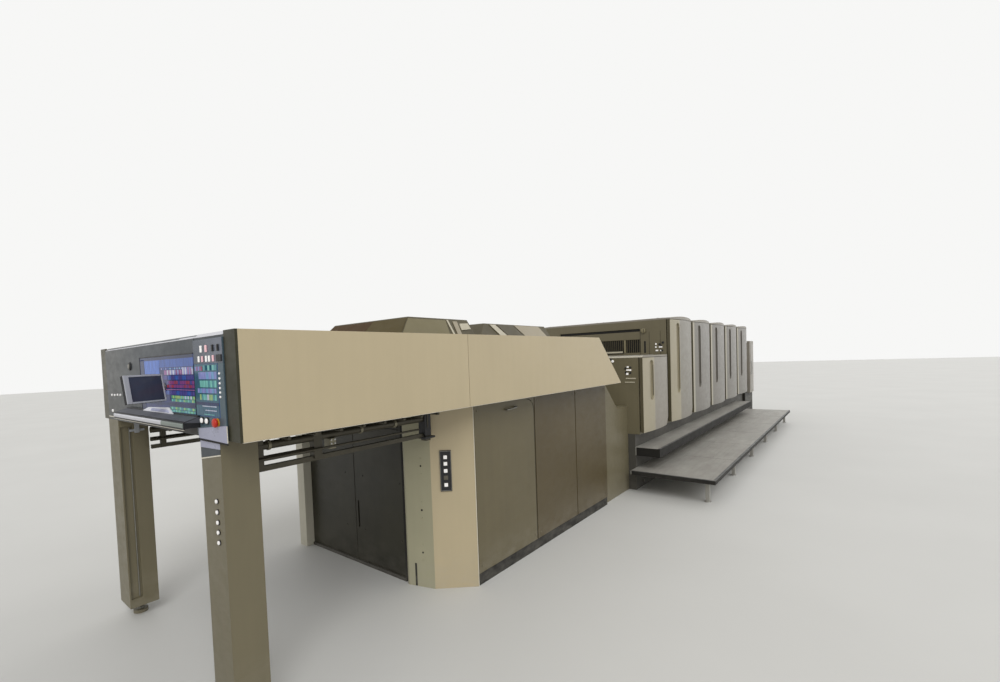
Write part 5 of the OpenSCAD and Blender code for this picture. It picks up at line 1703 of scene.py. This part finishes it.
    def handwheel(self):
        near = span("feeder_frame", 1)[0]
        hub = (span("feeder_frame", 0)[0] + 240, near - 34, 1080)
        wheel = Shape()
        ring = [(hub[0] + across, hub[1], hub[2] + up) for across, up in round_points(90, 36)]
        for a, b in zip(ring, ring[1:] + ring[:1]):
            wheel.rod(a, b, 9, 12)
        for k in (0, 12, 24):
            wheel.rod(hub, ring[k], 7, 12)
        wheel.turned((hub[0], near, hub[2]), TO_NEAR, ((0, 24), (6, 24), (8, 18), (44, 18), (48, 13)))
        wheel.make("feeder_handwheel", "black plastic", "black_plastic", smooth=True)

    def control_box(self):
        x, y = span("feeder_frame", 0)[0] + 700, span("feeder_frame", 1)[0]
        front = y - 70
        blocks("feeder_control_box", "grey paint", "grey_paint",
               [((x, x + 280), (front, y - 3), (1020, 1400))], rounding=6)
        blocks("feeder_control_screen", "dark screen", "screen_glass",
               [((x + 30, x + 250), (front - 3, front + 1), (1230, 1370))], rounding=1)
        keys = [(x + 45 + k * 38, front, z) for k in range(6) for z in (1190, 1145)]
        screws("feeder_control_buttons", "white lamp", "white_plastic", keys, TO_NEAR, 7, 18, 0.6, 10)
        turned_parts("feeder_stop_button", "red plastic", "red_plastic",
                     [((x + 60, front, 1075), TO_NEAR,
                       ((0, 24), (3, 24), (4, 12), (12, 12), (14, 20), (24, 20), (28, 14)))])

    def pile_skids(self):
        x0, x1 = span("pile_board", 0)
        y0, y1 = span("pile_board", 1)
        z = span("pile_board", 2)[0]
        rows = [y0 + 30 + k * (y1 - y0 - 90) / 4 for k in range(5)]
        blocks("pile_board_skids", "ply wood", "ply_wood",
               [((x0 + 10, x1 - 10), (y, y + 60), (z - 24, z)) for y in rows], rounding=2)

    def covers(self):
        """Grips and sheet panels on the feeder's side covers"""
        grips, panels = Shape(), Shape()
        x0, x1 = span("feeder_covers", 0)
        z0, z1 = span("feeder_covers", 2)
        for y, out in sides_of("feeder_covers"):
            grips.tube([(x0 + 70, y + out * proud, z) for proud, z in
                        ((0, 1100), (26, 1104), (32, 1116), (32, 1384), (26, 1396), (0, 1400))], 9)
            for z in ((z0 + 60, z0 + 560), (z0 + 600, z1 - 60)):
                panels.block((x0 + 120, x1 - 60), outwards(y, out, 0.2, 4), z)
        grips.make("feeder_cover_grips", "bright steel", "bright_steel", smooth=True)
        panels.make("feeder_cover_panels", "pale lid", "pale_paint", rounding=2)


class PRESS_PT_sidebar(bpy.types.Panel):
    """Lists the press's settings and operators"""
    bl_label = "Sheet press"
    bl_idname = "PRESS_PT_sidebar"
    bl_space_type = "VIEW_3D"
    bl_region_type = "UI"
    bl_category = "Press"

    def draw(self, context):
        for group in (context.scene.press_colours, context.scene.press_sizes):
            column = self.layout.column()
            for name in group.__annotations__:
                column.prop(group, name)
        for step in STEPS:
            self.layout.operator(step.bl_idname)


STEPS = (PRESS_OT_stage, PRESS_OT_finishes, PRESS_OT_front, PRESS_OT_ledge, PRESS_OT_posts, PRESS_OT_fascias,
         PRESS_OT_bay, PRESS_OT_guards, PRESS_OT_hoods, PRESS_OT_towers, PRESS_OT_walkway, PRESS_OT_feeder)
CLASSES = (PRESS_PG_colours, PRESS_PG_sizes, *STEPS, PRESS_PT_sidebar)


def register():
    for item in CLASSES:
        bpy.utils.register_class(item)
    bpy.types.Scene.press_colours = PointerProperty(type=PRESS_PG_colours)
    bpy.types.Scene.press_sizes = PointerProperty(type=PRESS_PG_sizes)


def unregister():
    del bpy.types.Scene.press_sizes
    del bpy.types.Scene.press_colours
    for item in reversed(CLASSES):
        bpy.utils.unregister_class(item)


def main():
    register()
    for step in STEPS:
        area, name = step.bl_idname.split(".")
        getattr(getattr(bpy.ops, area), name)()
    bpy.context.view_layer.update()


if __name__ == "__main__":
    main()
